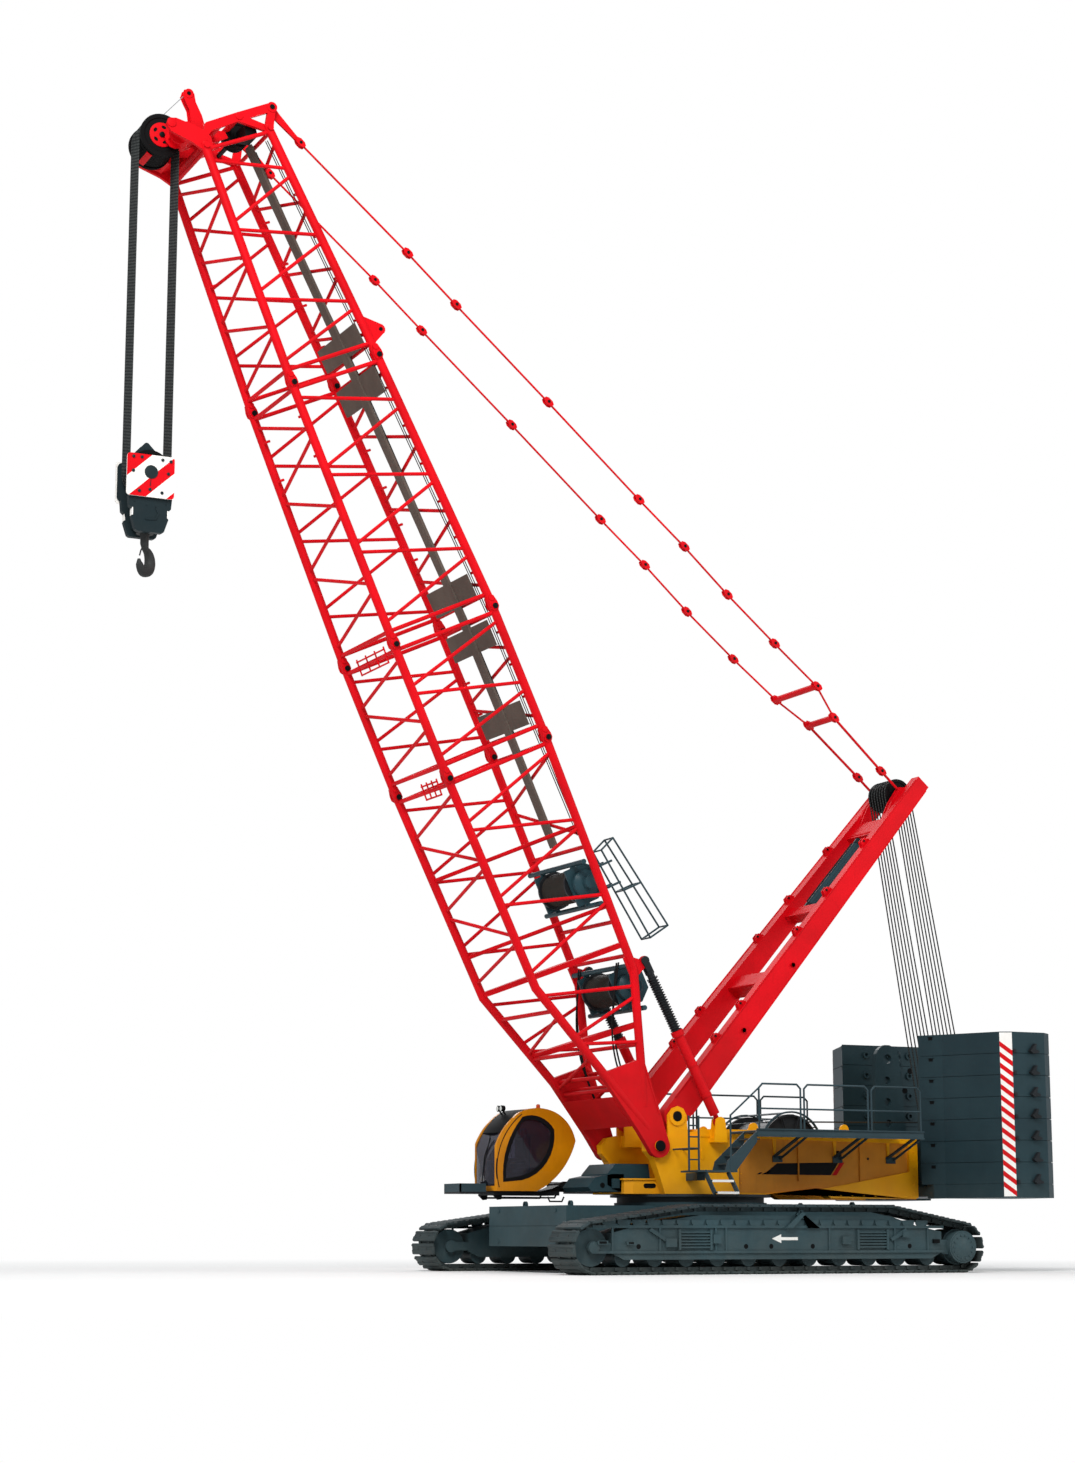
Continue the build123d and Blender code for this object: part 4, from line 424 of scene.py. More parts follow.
shares = (np.arange(PITCH_COUNT) + 0.5) / PITCH_COUNT
PAD = ((-0.122, 0.0), (-0.122, 0.034), (-0.100, 0.055), (-0.060, 0.055), (-0.052, 0.0585), (-0.022, 0.0585),
       (-0.014, 0.046), (0.060, 0.046), (0.068, 0.0585), (0.098, 0.0585), (0.106, 0.050), (0.122, 0.030),
       (0.122, 0.0))
LINK = ((-0.150, -0.090), (-0.150, -0.015), (-0.120, 0.001), (0.100, 0.001), (0.135, -0.030), (0.135, -0.090))
for side, middle in (("left", TRACK_Y), ("right", -TRACK_Y)):
    groups = [shoes(PAD, ((-0.589, 0.55), (-0.56, 1.0), (0.56, 1.0), (0.589, 0.55)), shares, middle)]
    for inner in (-0.30, 0.18):
        groups.append(shoes(LINK, ((inner, 1.0), (inner + 0.12, 1.0)), shares, middle))
    groups.append(shoes(((-0.03, -0.085), (-0.03, -0.02), (0.03, -0.02), (0.03, -0.085)),
                        ((-0.34, 1.0), (0.34, 1.0)), shares + 0.5 / PITCH_COUNT, middle))
    build(f"track_shoes_{side}", groups, chain_steel, "undercarriage", "track_steel", f"track_{side}")

# Four bolt heads hold each pad to its links.
for side, middle in (("left", TRACK_Y), ("right", -TRACK_Y)):
    groups = []
    point, ahead, out = chain_line(shares)
    hexagon = np.array([(cos(b), sin(b)) for b in np.arange(6) * pi / 3]) * 0.022
    for y in (-0.24, 0.24):
        head = []
        for h in (0.03, 0.058):
            flat = point[:, None] + hexagon[:, :1] * ahead[:, None] + h * out[:, None]
            head.append(upright(flat[..., 0], middle + y + hexagon[:, 1], flat[..., 1]))
        groups.append(np.stack(head, axis=1))
    build(f"shoe_bolts_{side}", groups, machined, "undercarriage", "track_steel")


# ---- Side frames of the tracks ----
# Welded box beams with stiffened side plates, access recesses with rungs, a hose guard and a lifting pad.
# The plates are flame-cut and painted with the carbody; the travel arrow is white paint through a stencil.

stencil_white = paint("white_stencil_paint", "F2F2EE", "E2E2DC", "8E8676", roughness=0.5, coat=0.0,
                      chips=0.01)
# The outer side plate of the left side frame.
FACE_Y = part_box("side_frame_left")[1].y
on_face = beside(FACE_Y)


def bars(rows, depth, lay):
    """Flat bars on a plane, each ((u0, u1), (v0, v1)), standing out by depth."""
    limits = np.asarray(rows, float)
    u, v = limits[:, 0][:, [0, 1, 1, 0]], limits[:, 1][:, [0, 0, 1, 1]]
    return np.stack([lay(u, v, w) for w in (-0.004, depth)], axis=1)


groups = [
    # Long rails along the plate, above and below the recesses.
    bars([((-5.45, 2.95), (0.93, 0.985)), ((-5.45, 2.95), (0.425, 0.475))], 0.035, on_face),
    # Upright ribs.
    bars([((x - 0.02, x + 0.02), (0.475, 0.93)) for x in (2.5, 1.42, 0.12, -0.12, -2.60, -4.22, -5.05)],
         0.03, on_face),
    # Recess surrounds and their rungs.
    bars([((x, x + 0.72), (v, v + 0.03)) for x in (0.25, -4.02)
          for v in (0.53, 0.59, 0.65, 0.71, 0.77, 0.83)], 0.05, on_face),
    bars([((x, x + 0.05), (0.49, 0.90)) for x in (0.22, 0.95, -4.05, -3.32)], 0.06, on_face),
    # Small boxes and pads.
    bars([((0.02, 0.20), (0.62, 0.80)), ((-3.1, -2.9), (0.60, 0.76)), ((1.05, 1.30), (0.55, 0.72)),
          ((2.62, 2.86), (0.60, 0.68)), ((2.0, 2.2), (0.60, 0.66)), ((-4.55, -4.4), (0.74, 0.86))],
         0.07, on_face),
]
# The stiffened bracket over the middle: two legs and a top pad, as a plate with a sloping foot.
groups.append(slab(((-2.35, 0.93), (-1.78, 1.20), (-1.86, 1.30), (-1.95, 1.30), (-1.98, 1.18), (-2.06, 0.93)),
                   -0.004, 0.06, on_face))
groups.append(slab(((-1.50, 0.93), (-1.90, 1.26), (-1.98, 1.22), (-1.66, 0.93)), 0.061, 0.11, on_face))
# Scalloped guard over the upper rollers: half-round teeth along the top edge.
teeth = np.arange(-4.9, 2.6, 0.34)
arch = np.linspace(0, pi, 9)
tooth = np.stack([0.15 * np.cos(arch), -0.12 * np.sin(arch)], axis=1)
tooth = np.concatenate([tooth, [(-0.15, 0.035), (0.15, 0.035)]])
groups.append(np.stack([on_face(teeth[:, None] + tooth[:, 0], 1.06 + tooth[:, 1] + 0 * teeth[:, None], w)
                        for w in (-0.004, 0.03)], axis=1))
# Slanted stays at the front and at the rear.
groups.append(slab(((1.62, 0.93), (1.18, 0.66), (1.24, 0.62), (1.68, 0.88)), -0.004, 0.05, on_face))
groups.append(slab(((-4.48, 0.93), (-4.10, 0.72), (-4.14, 0.66), (-4.54, 0.87)), -0.004, 0.05, on_face))
pair("side_frame_ribs", groups, slate, "undercarriage", "slate_paint")

ARROW = ((-1.84, 0.685), (-1.84, 0.745), (-1.44, 0.745), (-1.44, 0.805), (-1.22, 0.715), (-1.44, 0.625),
         (-1.44, 0.685))
pair("travel_arrow", [slab(ARROW, 0.0005, 0.004, on_face)], stencil_white, "undercarriage", "slate_paint")

# Slots and drain holes in the plates: near-black patches of painted shade where their insides would be in
# shadow.
painted_hole_shade = paint("unlit_steel_recess", "0C0F11", "070809", "1A1A18", roughness=0.8, coat=0.0, chips=0.0)
slots = [bars([((2.66, 2.82), (0.62, 0.665)), ((2.04, 2.16), (0.615, 0.65)), ((-5.32, -5.18), (0.62, 0.70))],
              0.074, on_face), turned(((0.05, -0.004), (0.05, 0.002)),
                                      [(x, 0.56, 0) for x in (1.9, -0.6, -1.2, -2.2, -4.6)], on_face, 16)]
pair("side_frame_slots", slots, painted_hole_shade, "undercarriage", "slate_paint")

# Final drive covers: a stepped disc with a ring of bolts; idler hubs the same, smaller.
low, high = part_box("final_drives")
track_low, track_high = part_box("track_left")
drive = (track_low.x - FOOT_PIN[0] + 0.54, low.z + (high.z - low.z) / 2, high.y)
idle = (track_high.x - FOOT_PIN[0] - 0.54, drive[1], FACE_Y)
a = np.arange(14) * 2 * pi / 14
rims = [turned(((0.30, -0.004), (0.30, 0.012), (0.27, 0.018), (0.12, 0.02), (0.10, 0.03), (0.03, 0.03)),
               drive, side_on, 40),
        turned(((0.12, -0.01), (0.12, 0.035), (0.09, 0.045), (0.02, 0.045)), idle, side_on, 28)]
heads = np.stack([drive[0] + 0.24 * np.cos(a), drive[1] + 0.24 * np.sin(a), 0 * a + drive[2] + 0.02], axis=1)
rims.append(turned(((0.02, 0), (0.02, 0.022)), heads, side_on, 6))
pair("track_hub_covers", rims, slate, "undercarriage", "slate_paint")


# ---- Main frame ----
# Two girders of welded plate joined by cross boxes, sprayed amber. Each carries a bright top flange, a rear
# end post and a tapered skirt that stand proud of the web, and a blank black plate riveted to the web. The
# web's darker amber is painted shade from the walkway above.

amber = paint("amber_yellow_machine_paint", "FBB004", "EE9E04", "B8944E", low=1.2, high=2.4)
# A darker, browner amber than the flanges' paints the shade that the walkway casts on the webs.
amber_painted_shade = paint("amber_paint_on_sheltered_web", "E8962C", "C87C1C", "8A6A44", roughness=0.5, coat=0.05,
                  low=1.4, high=3.2)
black_paint = paint("black_chassis_paint", "202428", "181B1E", "6F6A60", roughness=0.4)
pin_black = paint("oiled_black_pin_end", "0B0B0C", "060607", "2A2826", roughness=0.5, coat=0.0, chips=0.0)
finish_node(amber, "main_frame")
finish_node(slate, "slewing_gear_case")
finish_node(black_paint, "cab_mount")

# The outer side plates of the left girder and of its mast foot bracket.
on_girder, on_bracket = beside(1.15), beside(1.20)
MAST_FOOT = (-0.5, 3.31)


def disc(u, v, radius, depth, lay=on_girder, sides=24):
    """A flat round pad with a small chamfer."""
    return turned(((radius, -0.004), (radius, depth * 0.7), (radius * 0.93, depth)), (u, v), lay, sides)


def ring(u, v, outer, inner, depth, lay, sides=32):
    """A flat ring: a four-cornered section carried round, joined to itself across the section."""
    profile = ((outer, -0.004), (outer, depth), (inner, depth), (inner, -0.004))
    return turned(profile, (u, v), lay, sides), True


groups = [
    # Top flange with its lip, the rear post and the skirt below the web.
    slab(((-1.06, 2.885), (-1.06, 3.05), (-6.65, 3.05), (-6.65, 2.80)), -0.004, 0.075, on_girder),
    slab(((-6.42, 1.60), (-6.42, 2.80), (-6.65, 2.80), (-6.65, 1.60)), -0.004, 0.085, on_girder),
    slab(((-2.72, 1.665), (-4.22, 1.80), (-6.42, 2.18), (-6.42, 1.585), (-4.36, 1.585), (-3.96, 1.80)),
         -0.004, 0.085, on_girder),
    # Doubler at the front, under the boom foot pin.
    slab(((-0.19, 1.66), (0.055, 2.36), (0.19, 2.56), (0.10, 2.84), (-0.25, 2.90), (-2.02, 2.90),
          (-2.02, 1.66)), -0.004, 0.06, on_girder),
]
# Gussets under the flange, and the two lifting eyes on the deck edge.
for x in (-2.95, -4.50, -5.90):
    groups.append(slab(((x - 0.05, 2.885), (x + 0.05, 2.885), (x + 0.02, 2.45), (x - 0.02, 2.45)), -0.004,
                       0.03, on_girder))
arc = np.linspace(0, pi, 9)
for x in (-2.45, -4.79):
    eye = [(x + 0.11 * cos(b), 3.10 + 0.11 * sin(b)) for b in arc] + [(x - 0.19, 3.0), (x + 0.19, 3.0)]
    groups.append(slab(eye, -0.06, -0.01, on_girder))
# Boss ring round the mast's foot pin, and the oval cover of the hose duct.
groups.append(ring(*MAST_FOOT, 0.20, 0.115, 0.03, on_bracket))
oval = np.arange(20) * pi / 10
oval = np.stack([-1.11 + 0.045 * np.cos(oval), 2.50 + 0.12 * np.sin(oval)], axis=1)
groups.append(slab(oval, 0.055, 0.075, on_girder))
pair("girder_flanges", groups, amber, "superstructure", "yellow_paint")

# The web plate in the darker amber: painted shade under the walkway.
web = [slab(((-2.02, 1.70), (-2.02, 2.885), (-6.42, 2.80), (-6.42, 2.18), (-4.22, 1.80), (-2.72, 1.69)),
            0.0005, 0.006, on_girder)]
for x in (-3.55, -5.15):
    web.append(slab(((x - 0.012, 1.95), (x - 0.012, 2.86), (x + 0.012, 2.86), (x + 0.012, 1.95)), 0.005, 0.05,
                    on_girder))
pair("girder_web", web, amber_painted_shade, "superstructure", "yellow_paint")

# Rivets along the flange, up the post, along the skirt and up the web's front edge.
spots = [(x, 2.90, 0.075) for x in np.arange(-1.3, -6.5, -0.26)]
spots += [(-6.535, z, 0.085) for z in np.arange(1.72, 2.8, 0.18)]
spots += [(x, 1.64, 0.085) for x in np.arange(-4.6, -6.4, -0.3)]
spots += [(-2.10, z, 0.006) for z in np.arange(1.9, 2.8, 0.2)]
rivets = [turned(((0.016, -0.004), (0.016, 0.008), (0.008, 0.014)), spots, on_girder, 8)]
pair("girder_rivets", rivets, amber, "superstructure", "yellow_paint")

# Blank plate with two small blades ahead of it, a hole drawn as a black disc of painted shade, and two plugs.
black = [slab(part, 0.0065, 0.016, on_girder) for part in (
    ((-2.68, 2.095), (-3.015, 2.335), (-4.60, 2.37), (-4.39, 2.09)),
    ((-2.62, 2.095), (-2.78, 2.16), (-2.86, 2.16), (-2.74, 2.095)),
    ((-2.50, 2.095), (-2.58, 2.135), (-2.64, 2.135), (-2.58, 2.095)))]
black += [disc(-4.595, 2.536, 0.095, 0.012), disc(-5.38, 2.46, 0.03, 0.012), disc(-1.75, 2.36, 0.02, 0.064)]
pair("name_plate", black, pin_black, "superstructure", "dark_steel")
signal_red = paint("signal_red_gloss_paint", "DE0214", "C0020F", "98302A", roughness=0.55, coat=0.0, low=2.0,
                   high=6.0)
bar = [slab(((-4.43, 2.09), (-4.64, 2.37), (-4.755, 2.373), (-4.54, 2.088)), 0.0065, 0.017, on_girder)]
pair("name_plate_bar", bar, signal_red, "superstructure", "red_paint")

# Black ends of the boom foot pin and the mast foot pins.
caps = [disc(0.0, float(FOOT_PIN[2]), 0.118, 0.03, beside(1.365)), disc(*MAST_FOOT, 0.11, 0.03, on_bracket)]
build("foot_pin_ends", caps + mirrored(caps), pin_black, "superstructure", "dark_steel")


# ---- Slewing gear, ahead of the ring ----
# A cast gear case with a faceted nose, and the amber box that carries it on the ring. Both are bolted to the
# front of the girders.

nose = ((0.50, 1.705), (1.28, 1.705), (1.36, 1.80), (1.20, 2.00), (0.78, 2.08), (0.50, 2.08))
case = [slab(nose, -0.62, 0.62, side_on), blocks((((0.62, 0.80), (-0.66, 0.66), (1.78, 1.98)),))]
build("gear_case_nose", case, slate, "superstructure", "slate_paint")
# The saddle and its rim: front corner x and y, nose x and y, and the height it starts at.
box = [slab([(x, -y), (tip, -edge), (tip, edge), (x, y), (-0.60, y), (-0.60, -y)], low, 1.985, flat_on)
       for x, y, tip, edge, low in ((0.42, 0.90, 0.56, 0.74, 1.66), (0.45, 0.93, 0.60, 0.76, 1.955))]
build("gear_case_saddle", box, amber, "superstructure", "yellow_paint")
# The saddle's slots and the hole in the nose are near-black patches of painted shade.
slot = [(0.02 + 0.10 * way + 0.05 * cos(b), 1.83 + 0.05 * sin(b))
        for way in (1, -1) for b in np.linspace(-way * pi / 2, pi - way * pi / 2, 7)]
marks = [slab(slot, 0.895, 0.906, side_on), slab(slot, -0.906, -0.895, side_on),
         disc(1.02, 1.84, 0.055, 0.012, beside(0.62))]
build("gear_case_slots", marks, painted_hole_shade, "superstructure", "dark_steel")


# ---- Walkways, stair and guard rails ----
# Galvanised bar grating clamped on a slate edge beam that stands on struts from the girder. Treads of the low
# steps are pale punched planks; tube rails plug into the edge beam.

rail_slate = paint("slate_handrail_paint", "33464D", "283A40", "7C7F7B", roughness=0.45, coat=0.1, chips=0.01)
galvanised = paint("galvanised_bar_grating", "8B9092", "74797B", "9A9384", roughness=0.5, coat=0.0, chips=0.0)
finish_node(rail_slate, "walkway_left", "walkway_right", "guard_rails", "access_ladder")

DECK_Z = 2.99
rows = [((-6.03, -1.82), (y, y + 0.007), (DECK_Z - 0.002, DECK_Z + 0.012))
        for y in np.arange(1.20, 2.35, 0.055)]
rows += [((x, x + 0.010), (1.17, 2.355), (DECK_Z - 0.002, DECK_Z + 0.014))
         for x in np.arange(-6.0, -1.85, 0.11)]
pair("walkway_grating", [blocks(rows)], galvanised, "superstructure", "galvanised_steel")

# Edge channel along both walkways' rims; on the left its second struts and their feet on the girder.
rim = [blocks([((-6.05, -1.80), (2.40, 2.43), (2.86, 2.885)), ((-6.05, -1.80), (2.40, 2.43), (3.01, 3.035)),
               ((-6.05, -1.80), (1.15, 1.20), (3.03, 3.05))])]
for x in (-2.95, -4.50, -5.90):
    rim.append(tube(upright([x - 0.14, x - 0.14], [1.17, 2.36], [2.43, 2.90]), 0.028))
    rim.append(blocks([((x - 0.19, x + 0.05), (1.15, 1.19), (2.36, 2.50))]))
build("walkway_rim_left", rim, rail_slate, "superstructure", "slate_paint")
build("walkway_rim_right", mirrored([rim[0]]), rail_slate, "superstructure", "slate_paint")

# Pale planks of the two low steps: the board, its nosing and nine raised grips, from x at its rear, y and z.
x, boards = -1.10, []
for y, z in ((2.468, 1.918), (2.686, 1.668)):
    boards += [((x, x + 0.52), (y - 0.105, y + 0.105), (z + 0.002, z + 0.014)),
               ((x, x + 0.52), (y + 0.09, y + 0.115), (z - 0.03, z + 0.018))]
    boards += [((x + 0.03 + 0.052 * k, x + 0.058 + 0.052 * k), (y - 0.09, y + 0.08), (z + 0.014, z + 0.02))
               for k in range(9)]
build("step_planks", [blocks(boards)], stencil_white, "superstructure", "galvanised_steel")


# ---- Luffing winch on the deck ----
# A drum with ribbed flanges under black paint, in a low guard of bent steel rods on posts bolted to the deck.
# The greased wire rope is the one wound on the hoist drums in the boom's foot.

wire = paint("greased_wire_rope", "34322F", "26241F", "5A554C", roughness=0.5, coat=0.0, chips=0.0)
finish_node(black_paint, "luffing_drum")
DRUM = (-3.5, 2.70)


def wraps(centre, radius, half, pitch, rope, lay, sides=40):
    """Rope wound on a drum: round the axis, the radius swells by rope * |sin| of the place along it."""
    w = np.arange(-half, half + pitch / 12, pitch / 6)
    r = radius + rope * np.sqrt(np.abs(np.sin(pi * (w + half) / pitch)))
    core = radius * 0.8
    profile = np.stack([np.concatenate([[core], r, [core]]), np.concatenate([[w[0]], w, [w[-1]]])], axis=1)
    return turned(profile, centre, lay, sides)


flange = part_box("luffing_drum")[1].y
ribs = [ring(*DRUM, 0.715, 0.675, 0.03, beside(flange), 48)]
for b in np.arange(10) * pi / 5:
    across, along = np.array((-sin(b), cos(b))) * 0.012, np.array((cos(b), sin(b)))
    corners = [np.array(DRUM) + along * r + across * s
               for r, s in ((0.14, 1), (0.68, 1), (0.68, -1), (0.14, -1))]
    ribs.append(slab(corners, flange - 0.004, flange + 0.028, side_on))
build("luffing_drum_ribs", ribs + mirrored(ribs), black_paint, "luffing_winch", "dark_steel")

# Guard: hoops of 0.77 m radius at four places across, rods between them and four posts.
guard = 0.77
hoops, a = [], np.linspace(radians(-6), radians(186), 25)
for y in (-1.03, -0.98, 0.98, 1.03):
    hoops.append(tube(upright(DRUM[0] + guard * np.cos(a), y, DRUM[1] + guard * np.sin(a)), 0.018, 6))
for b in np.radians((20, 45, 70, 95, 120, 145, 165)):
    hoops.append(tube(upright(DRUM[0] + guard * cos(b), [-1.03, 1.03], DRUM[1] + guard * sin(b)), 0.014, 6))
hoops.append(blocks([((x, x + 0.16), (y - 0.04, y + 0.04), (2.55, 3.06)) for x in (-4.36, -2.80)
                     for y in (-1.0, 1.0)]))
build("luffing_winch_guard", hoops, rail_slate, "superstructure", "dark_steel")


# ---- Power pack on the right side ----
# Pressed steel housing with louvred doors on hinges, a radiator screen at its rear and a stainless stack on
# its roof.

finish_node(amber, "power_pack")
# The right face of the power pack.
on_house = beside(-2.60, -1.0)
louvres, frames = [], []
for x in (-6.20, -5.32, -4.44, -3.56, -2.68):
    for z in 1.98 + 0.06 * np.arange(13):
        # A blade slopes out and down: its inner edge at height z, its outer edge 35 mm below.
        louvres.append(np.stack([on_house((x + 0.06, x + 0.66, x + 0.66, x + 0.06),
                                          z + drop + np.array((0, 0, 0.012, 0.012)), out) for drop,
                                 out in ((0.0, -0.03), (-0.035, 0.008))]))
    frames.append(bars([((x + 0.66, x + 0.71), (2.28, 2.42)), ((x + 0.01, x + 0.05), (2.0, 2.12)),
                        ((x + 0.01, x + 0.05), (2.6, 2.72))], 0.02, on_house))
# The louvre blades take the same darker amber of painted shade.
build("power_pack_louvres", louvres, amber_painted_shade, "superstructure", "yellow_paint")
build("power_pack_latches", frames, black_paint, "superstructure", "dark_steel")
steel = paint("heat_stained_stainless_steel", "8C8780", "6E655C", "5E564C", roughness=0.35, coat=0.0,
              chips=0.0)
stack = [turned(((0.085, 3.01), (0.085, 3.10), (0.15, 3.12), (0.15, 3.46), (0.085, 3.48), (0.085, 3.56),
                 (0.07, 3.56), (0.07, 3.48)), (-5.2, -1.85), flat_on, 24),
         slab([(-5.30, -1.95), (-5.10, -1.95), (-5.10, -1.75), (-5.30, -1.75)], 3.03, 3.05, flat_on)]
build("exhaust_stack", stack, steel, "superstructure", "galvanised_steel")
rows = [((-6.37, -6.35), (-2.5, -1.3), (z, z + 0.02)) for z in np.arange(1.9, 2.85, 0.05)]
rows += [((-6.375, -6.35), (y, y + 0.04), (1.86, 2.88)) for y in (-2.52, -1.92, -1.32)]
build("radiator_screen", [blocks(rows)], black_paint, "superstructure", "dark_steel")


# ---- Counterweights and rear bracket ----
# Cast iron slabs stacked on a tray, painted slate. Each has lifting pockets, stacking lugs and bolted stops;
# the outer front corner wears a red and white warning strip, and chains hang beside the inner faces.

iron = paint("slate_counterweight_paint", "24393F", "1E3137", "5E625C", roughness=0.42, coat=0.1, low=0.5,
             high=2.2)
white_tape = paint("white_warning_tape", "F4F2EE", "E6E2DC", "A29A8C", roughness=0.4, coat=0.1, chips=0.0)
finish_node(iron, "counterweight_left", "counterweight_right", "counterweight_tray", "rear_bracket")
BASE, RISE, SLABS = 1.884, 0.475, 7
CORNERS = np.array(((-6.5, 1.6), (-6.8, 2.1), (-7.4, 3.45), (-7.65, 3.57), (-8.52, 3.57), (-8.82, 3.33),
                    (-8.9, 2.5), (-8.9, 1.6)))


def on_side(k):
    """Layout on side k of the stack: u metres along it from its first corner, v up, w out from the face."""
    a, b = CORNERS[k], CORNERS[(k + 1) % 8]
    along = (b - a) / np.hypot(*(b - a))
    out = np.array((-along[1], along[0])) * (1 if np.cross(b - a, CORNERS.mean(axis=0) - a) < 0 else -1)
    return lambda u, v, w: upright(*(a[i] + np.multiply(u, along[i]) + np.multiply(w, out[i])
                                     for i in (0, 1)), v)


levels = BASE + RISE * np.arange(SLABS)
# The lifting pockets are flat near-black patches of painted shade.
dark, lugs = [], []
for face, at in ((0, 0.30), (6, 0.45), (5, 0.42)):
    dark.append(bars([((at - 0.05, at + 0.05), (z + 0.36, z + 0.43)) for z in levels], 0.004, on_side(face)))
    lugs.append(bars([((at - 0.075, at + 0.075), (z + 0.43, z + 0.455)) for z in levels], 0.02,
                     on_side(face)))
hooks = []
for z in levels:
    hooks.append(blocks([((-7.72, -7.66), (3.565, 3.62), (z + 0.01, z + 0.09))]))
    hooks.append(slab(((0.42, z + 0.06), (0.46, z + 0.10), (0.56, z + 0.22), (0.60, z + 0.21),
                       (0.56, z + 0.10), (0.66, z + 0.06), (0.66, z + 0.02), (0.50, z)), -0.004, 0.10,
                      on_side(3)))
# Ring lugs and the link chains beside the inner face.
inner = on_side(7)
for at in (0.55, 1.10, 1.75):
    lugs += [ring(at, z + 0.25, 0.085, 0.045, 0.05, inner, 14) for z in levels]
b, spin = np.arange(10) * pi / 5, np.arange(5)[:, None] * 2 * pi / 5
for at in (0.85, 1.42):
    for k in range(34):
        flat, deep = (0.045, 0.0) if k % 2 else (0.0, 0.045)
        loop = inner(at + flat * np.cos(b), 5.02 - 0.09 * k + 0.065 * np.sin(b), 0.06 + deep * np.cos(b))
        spoke = loop - loop.mean(axis=0)
        spoke /= np.linalg.norm(spoke, axis=1, keepdims=True)
        side = np.cross(spoke, np.roll(loop, -1, axis=0) - np.roll(loop, 1, axis=0))
        side /= np.linalg.norm(side, axis=1, keepdims=True)
        lugs.append((loop[:, None] + 0.016 * (spoke[:, None] * np.cos(spin) + side[:, None] * np.sin(spin)),
                     True))
# Lifting eyes on the top slab.
top = levels[-1] + RISE
for x, y in ((-6.95, 1.9), (-8.6, 1.9), (-7.7, 3.35)):
    lugs.append(blocks([((x - 0.06, x + 0.06), (y - 0.015, y + 0.015), (top - 0.15, top - 0.002))]))
pair("counterweight_hooks", hooks, black_paint, "superstructure", "dark_steel")
pair("counterweight_lugs", lugs, iron, "superstructure", "slate_paint")
pair("counterweight_pockets", dark, painted_hole_shade, "superstructure", "slate_paint")

# Warning strip: white ground over the full height of the corner, with slanted red bars across it.
corner = on_side(2)
width = float(np.hypot(*(CORNERS[3] - CORNERS[2])))
foot = 1.62
ground = [slab(((0.0, foot), (0.0, top - 0.02), (width, top - 0.02), (width, foot)), 0.0, 0.003, corner)]
pair("warning_strip", ground, white_tape, "superstructure", "slate_paint")
slants = [slab(((0.0, z + 0.21), (0.0, z + 0.325), (width, z + 0.115), (width, z)), 0.003, 0.005, corner)
          for z in np.arange(foot, top - 0.40, 0.235)]
pair("warning_bars", slants, signal_red, "superstructure", "red_paint")

# Rear bracket: a row of holes up each cheek, drawn as near-black discs of painted shade.
holes = [disc(-7.3 - 0.16 * k, 2.3 + 0.46 * k, 0.07, 0.012, on_girder, 16) for k in range(6)]
build("rear_bracket_holes", holes + mirrored(holes), painted_hole_shade, "superstructure", "slate_paint")


# ---- Cab ----
# Pressed steel shell with a bowed, tinted screen, a D-shaped side pane in black rubber, a black visor with
# work lamps, and a railed platform ahead. It pivots on a cross tube at its rear, above the slate underframe.

cab_amber = paint("amber_cab_enamel", "DC8E06", "C07806", "9A7038", roughness=0.25, coat=0.3, chips=0.01,
                  low=1.5, high=2.2)
rubber = paint("black_window_rubber", "121314", "0D0E0F", "3B3935", roughness=0.6, coat=0.0, chips=0.0)
finish_node(cab_amber, "cab_shell", "cab_door")
finish_node(black_paint, "cab_base")

# Tinted laminated glass: light passes with a violet grey tint, and dust dulls it in patches.
glass, tree, out = material("tinted_cab_glass")
place = add(tree, "TexCoord")
patch = add(tree, "TexNoise", {"Vector": place.outputs["Object"], "Scale": 3.0, "Detail": 4.0})
smear = add(tree, "MapRange", {"Value": patch.outputs["Fac"], "From Min": 0.4, "From Max": 0.8,
                               "To Min": 0.02, "To Max": 0.16})
pane = add(tree, "BsdfPrincipled", {"Base Color": linear("6C6A7C"), "Roughness": smear.outputs[0],
                                    "IOR": 1.45, "Transmission Weight": 0.9})
tree.links.new(pane.outputs["BSDF"], out.inputs["Surface"])
finish_node(glass, "cab_glass", "cab_door_glass")
# Inner and outer faces of the shell, and the plane midway.
CAB_NEAR, CAB_FAR = -1.53, -2.71
CAB_MIDDLE = (CAB_NEAR + CAB_FAR) / 2


def bent(*spans, steps=8):
    """Outline through spans: each (start, middle, end) is an arc of the circle through three points, whose
    centre is where the bisectors of the two chords meet; each (start, end) is straight."""
    points = []
    for span in spans:
        p = np.array(span, float)
        if len(p) == 2:
            points += [p[0] + (p[1] - p[0]) * t for t in np.arange(steps) / steps]
            continue
        sides = np.array((p[1] - p[0], p[2] - p[1])) * 2
        centre = np.linalg.solve(sides, [p[1] @ p[1] - p[0] @ p[0], p[2] @ p[2] - p[1] @ p[1]])
        b = np.unwrap(np.arctan2(*(p - centre).T[::-1]))
        turns = b[0] + (b[2] - b[0]) * np.arange(steps) / steps
        points += [centre + np.hypot(*(p[0] - centre)) * np.array((cos(t), sin(t))) for t in turns]
    return np.array(points)


SIDE_PANE = bent(((2.35, 1.95), (2.27, 2.65), (1.89, 3.34)), ((1.89, 3.34), (1.48, 3.35), (1.13, 3.08)),
                 ((1.13, 3.08), (1.29, 2.42), (1.90, 2.00)), ((1.90, 2.00), (2.35, 1.95)))


def band(outline, grow, shrink, w0, w1, lay):
    """A flat band round an outline: it runs from grow outside the line to shrink inside it."""
    centre = outline.mean(axis=0)
    away = (outline - centre) / np.linalg.norm(outline - centre, axis=1, keepdims=True)
    section = [(grow, w0), (grow, w1), (-shrink, w1), (-shrink, w0)]
    return (np.stack([lay(*(outline + away * d).T, w) for d, w in section], axis=1)[None], True)


rims = [band(SIDE_PANE, 0.02, 0.075, CAB_NEAR - 0.02, CAB_NEAR + 0.006, side_on)]
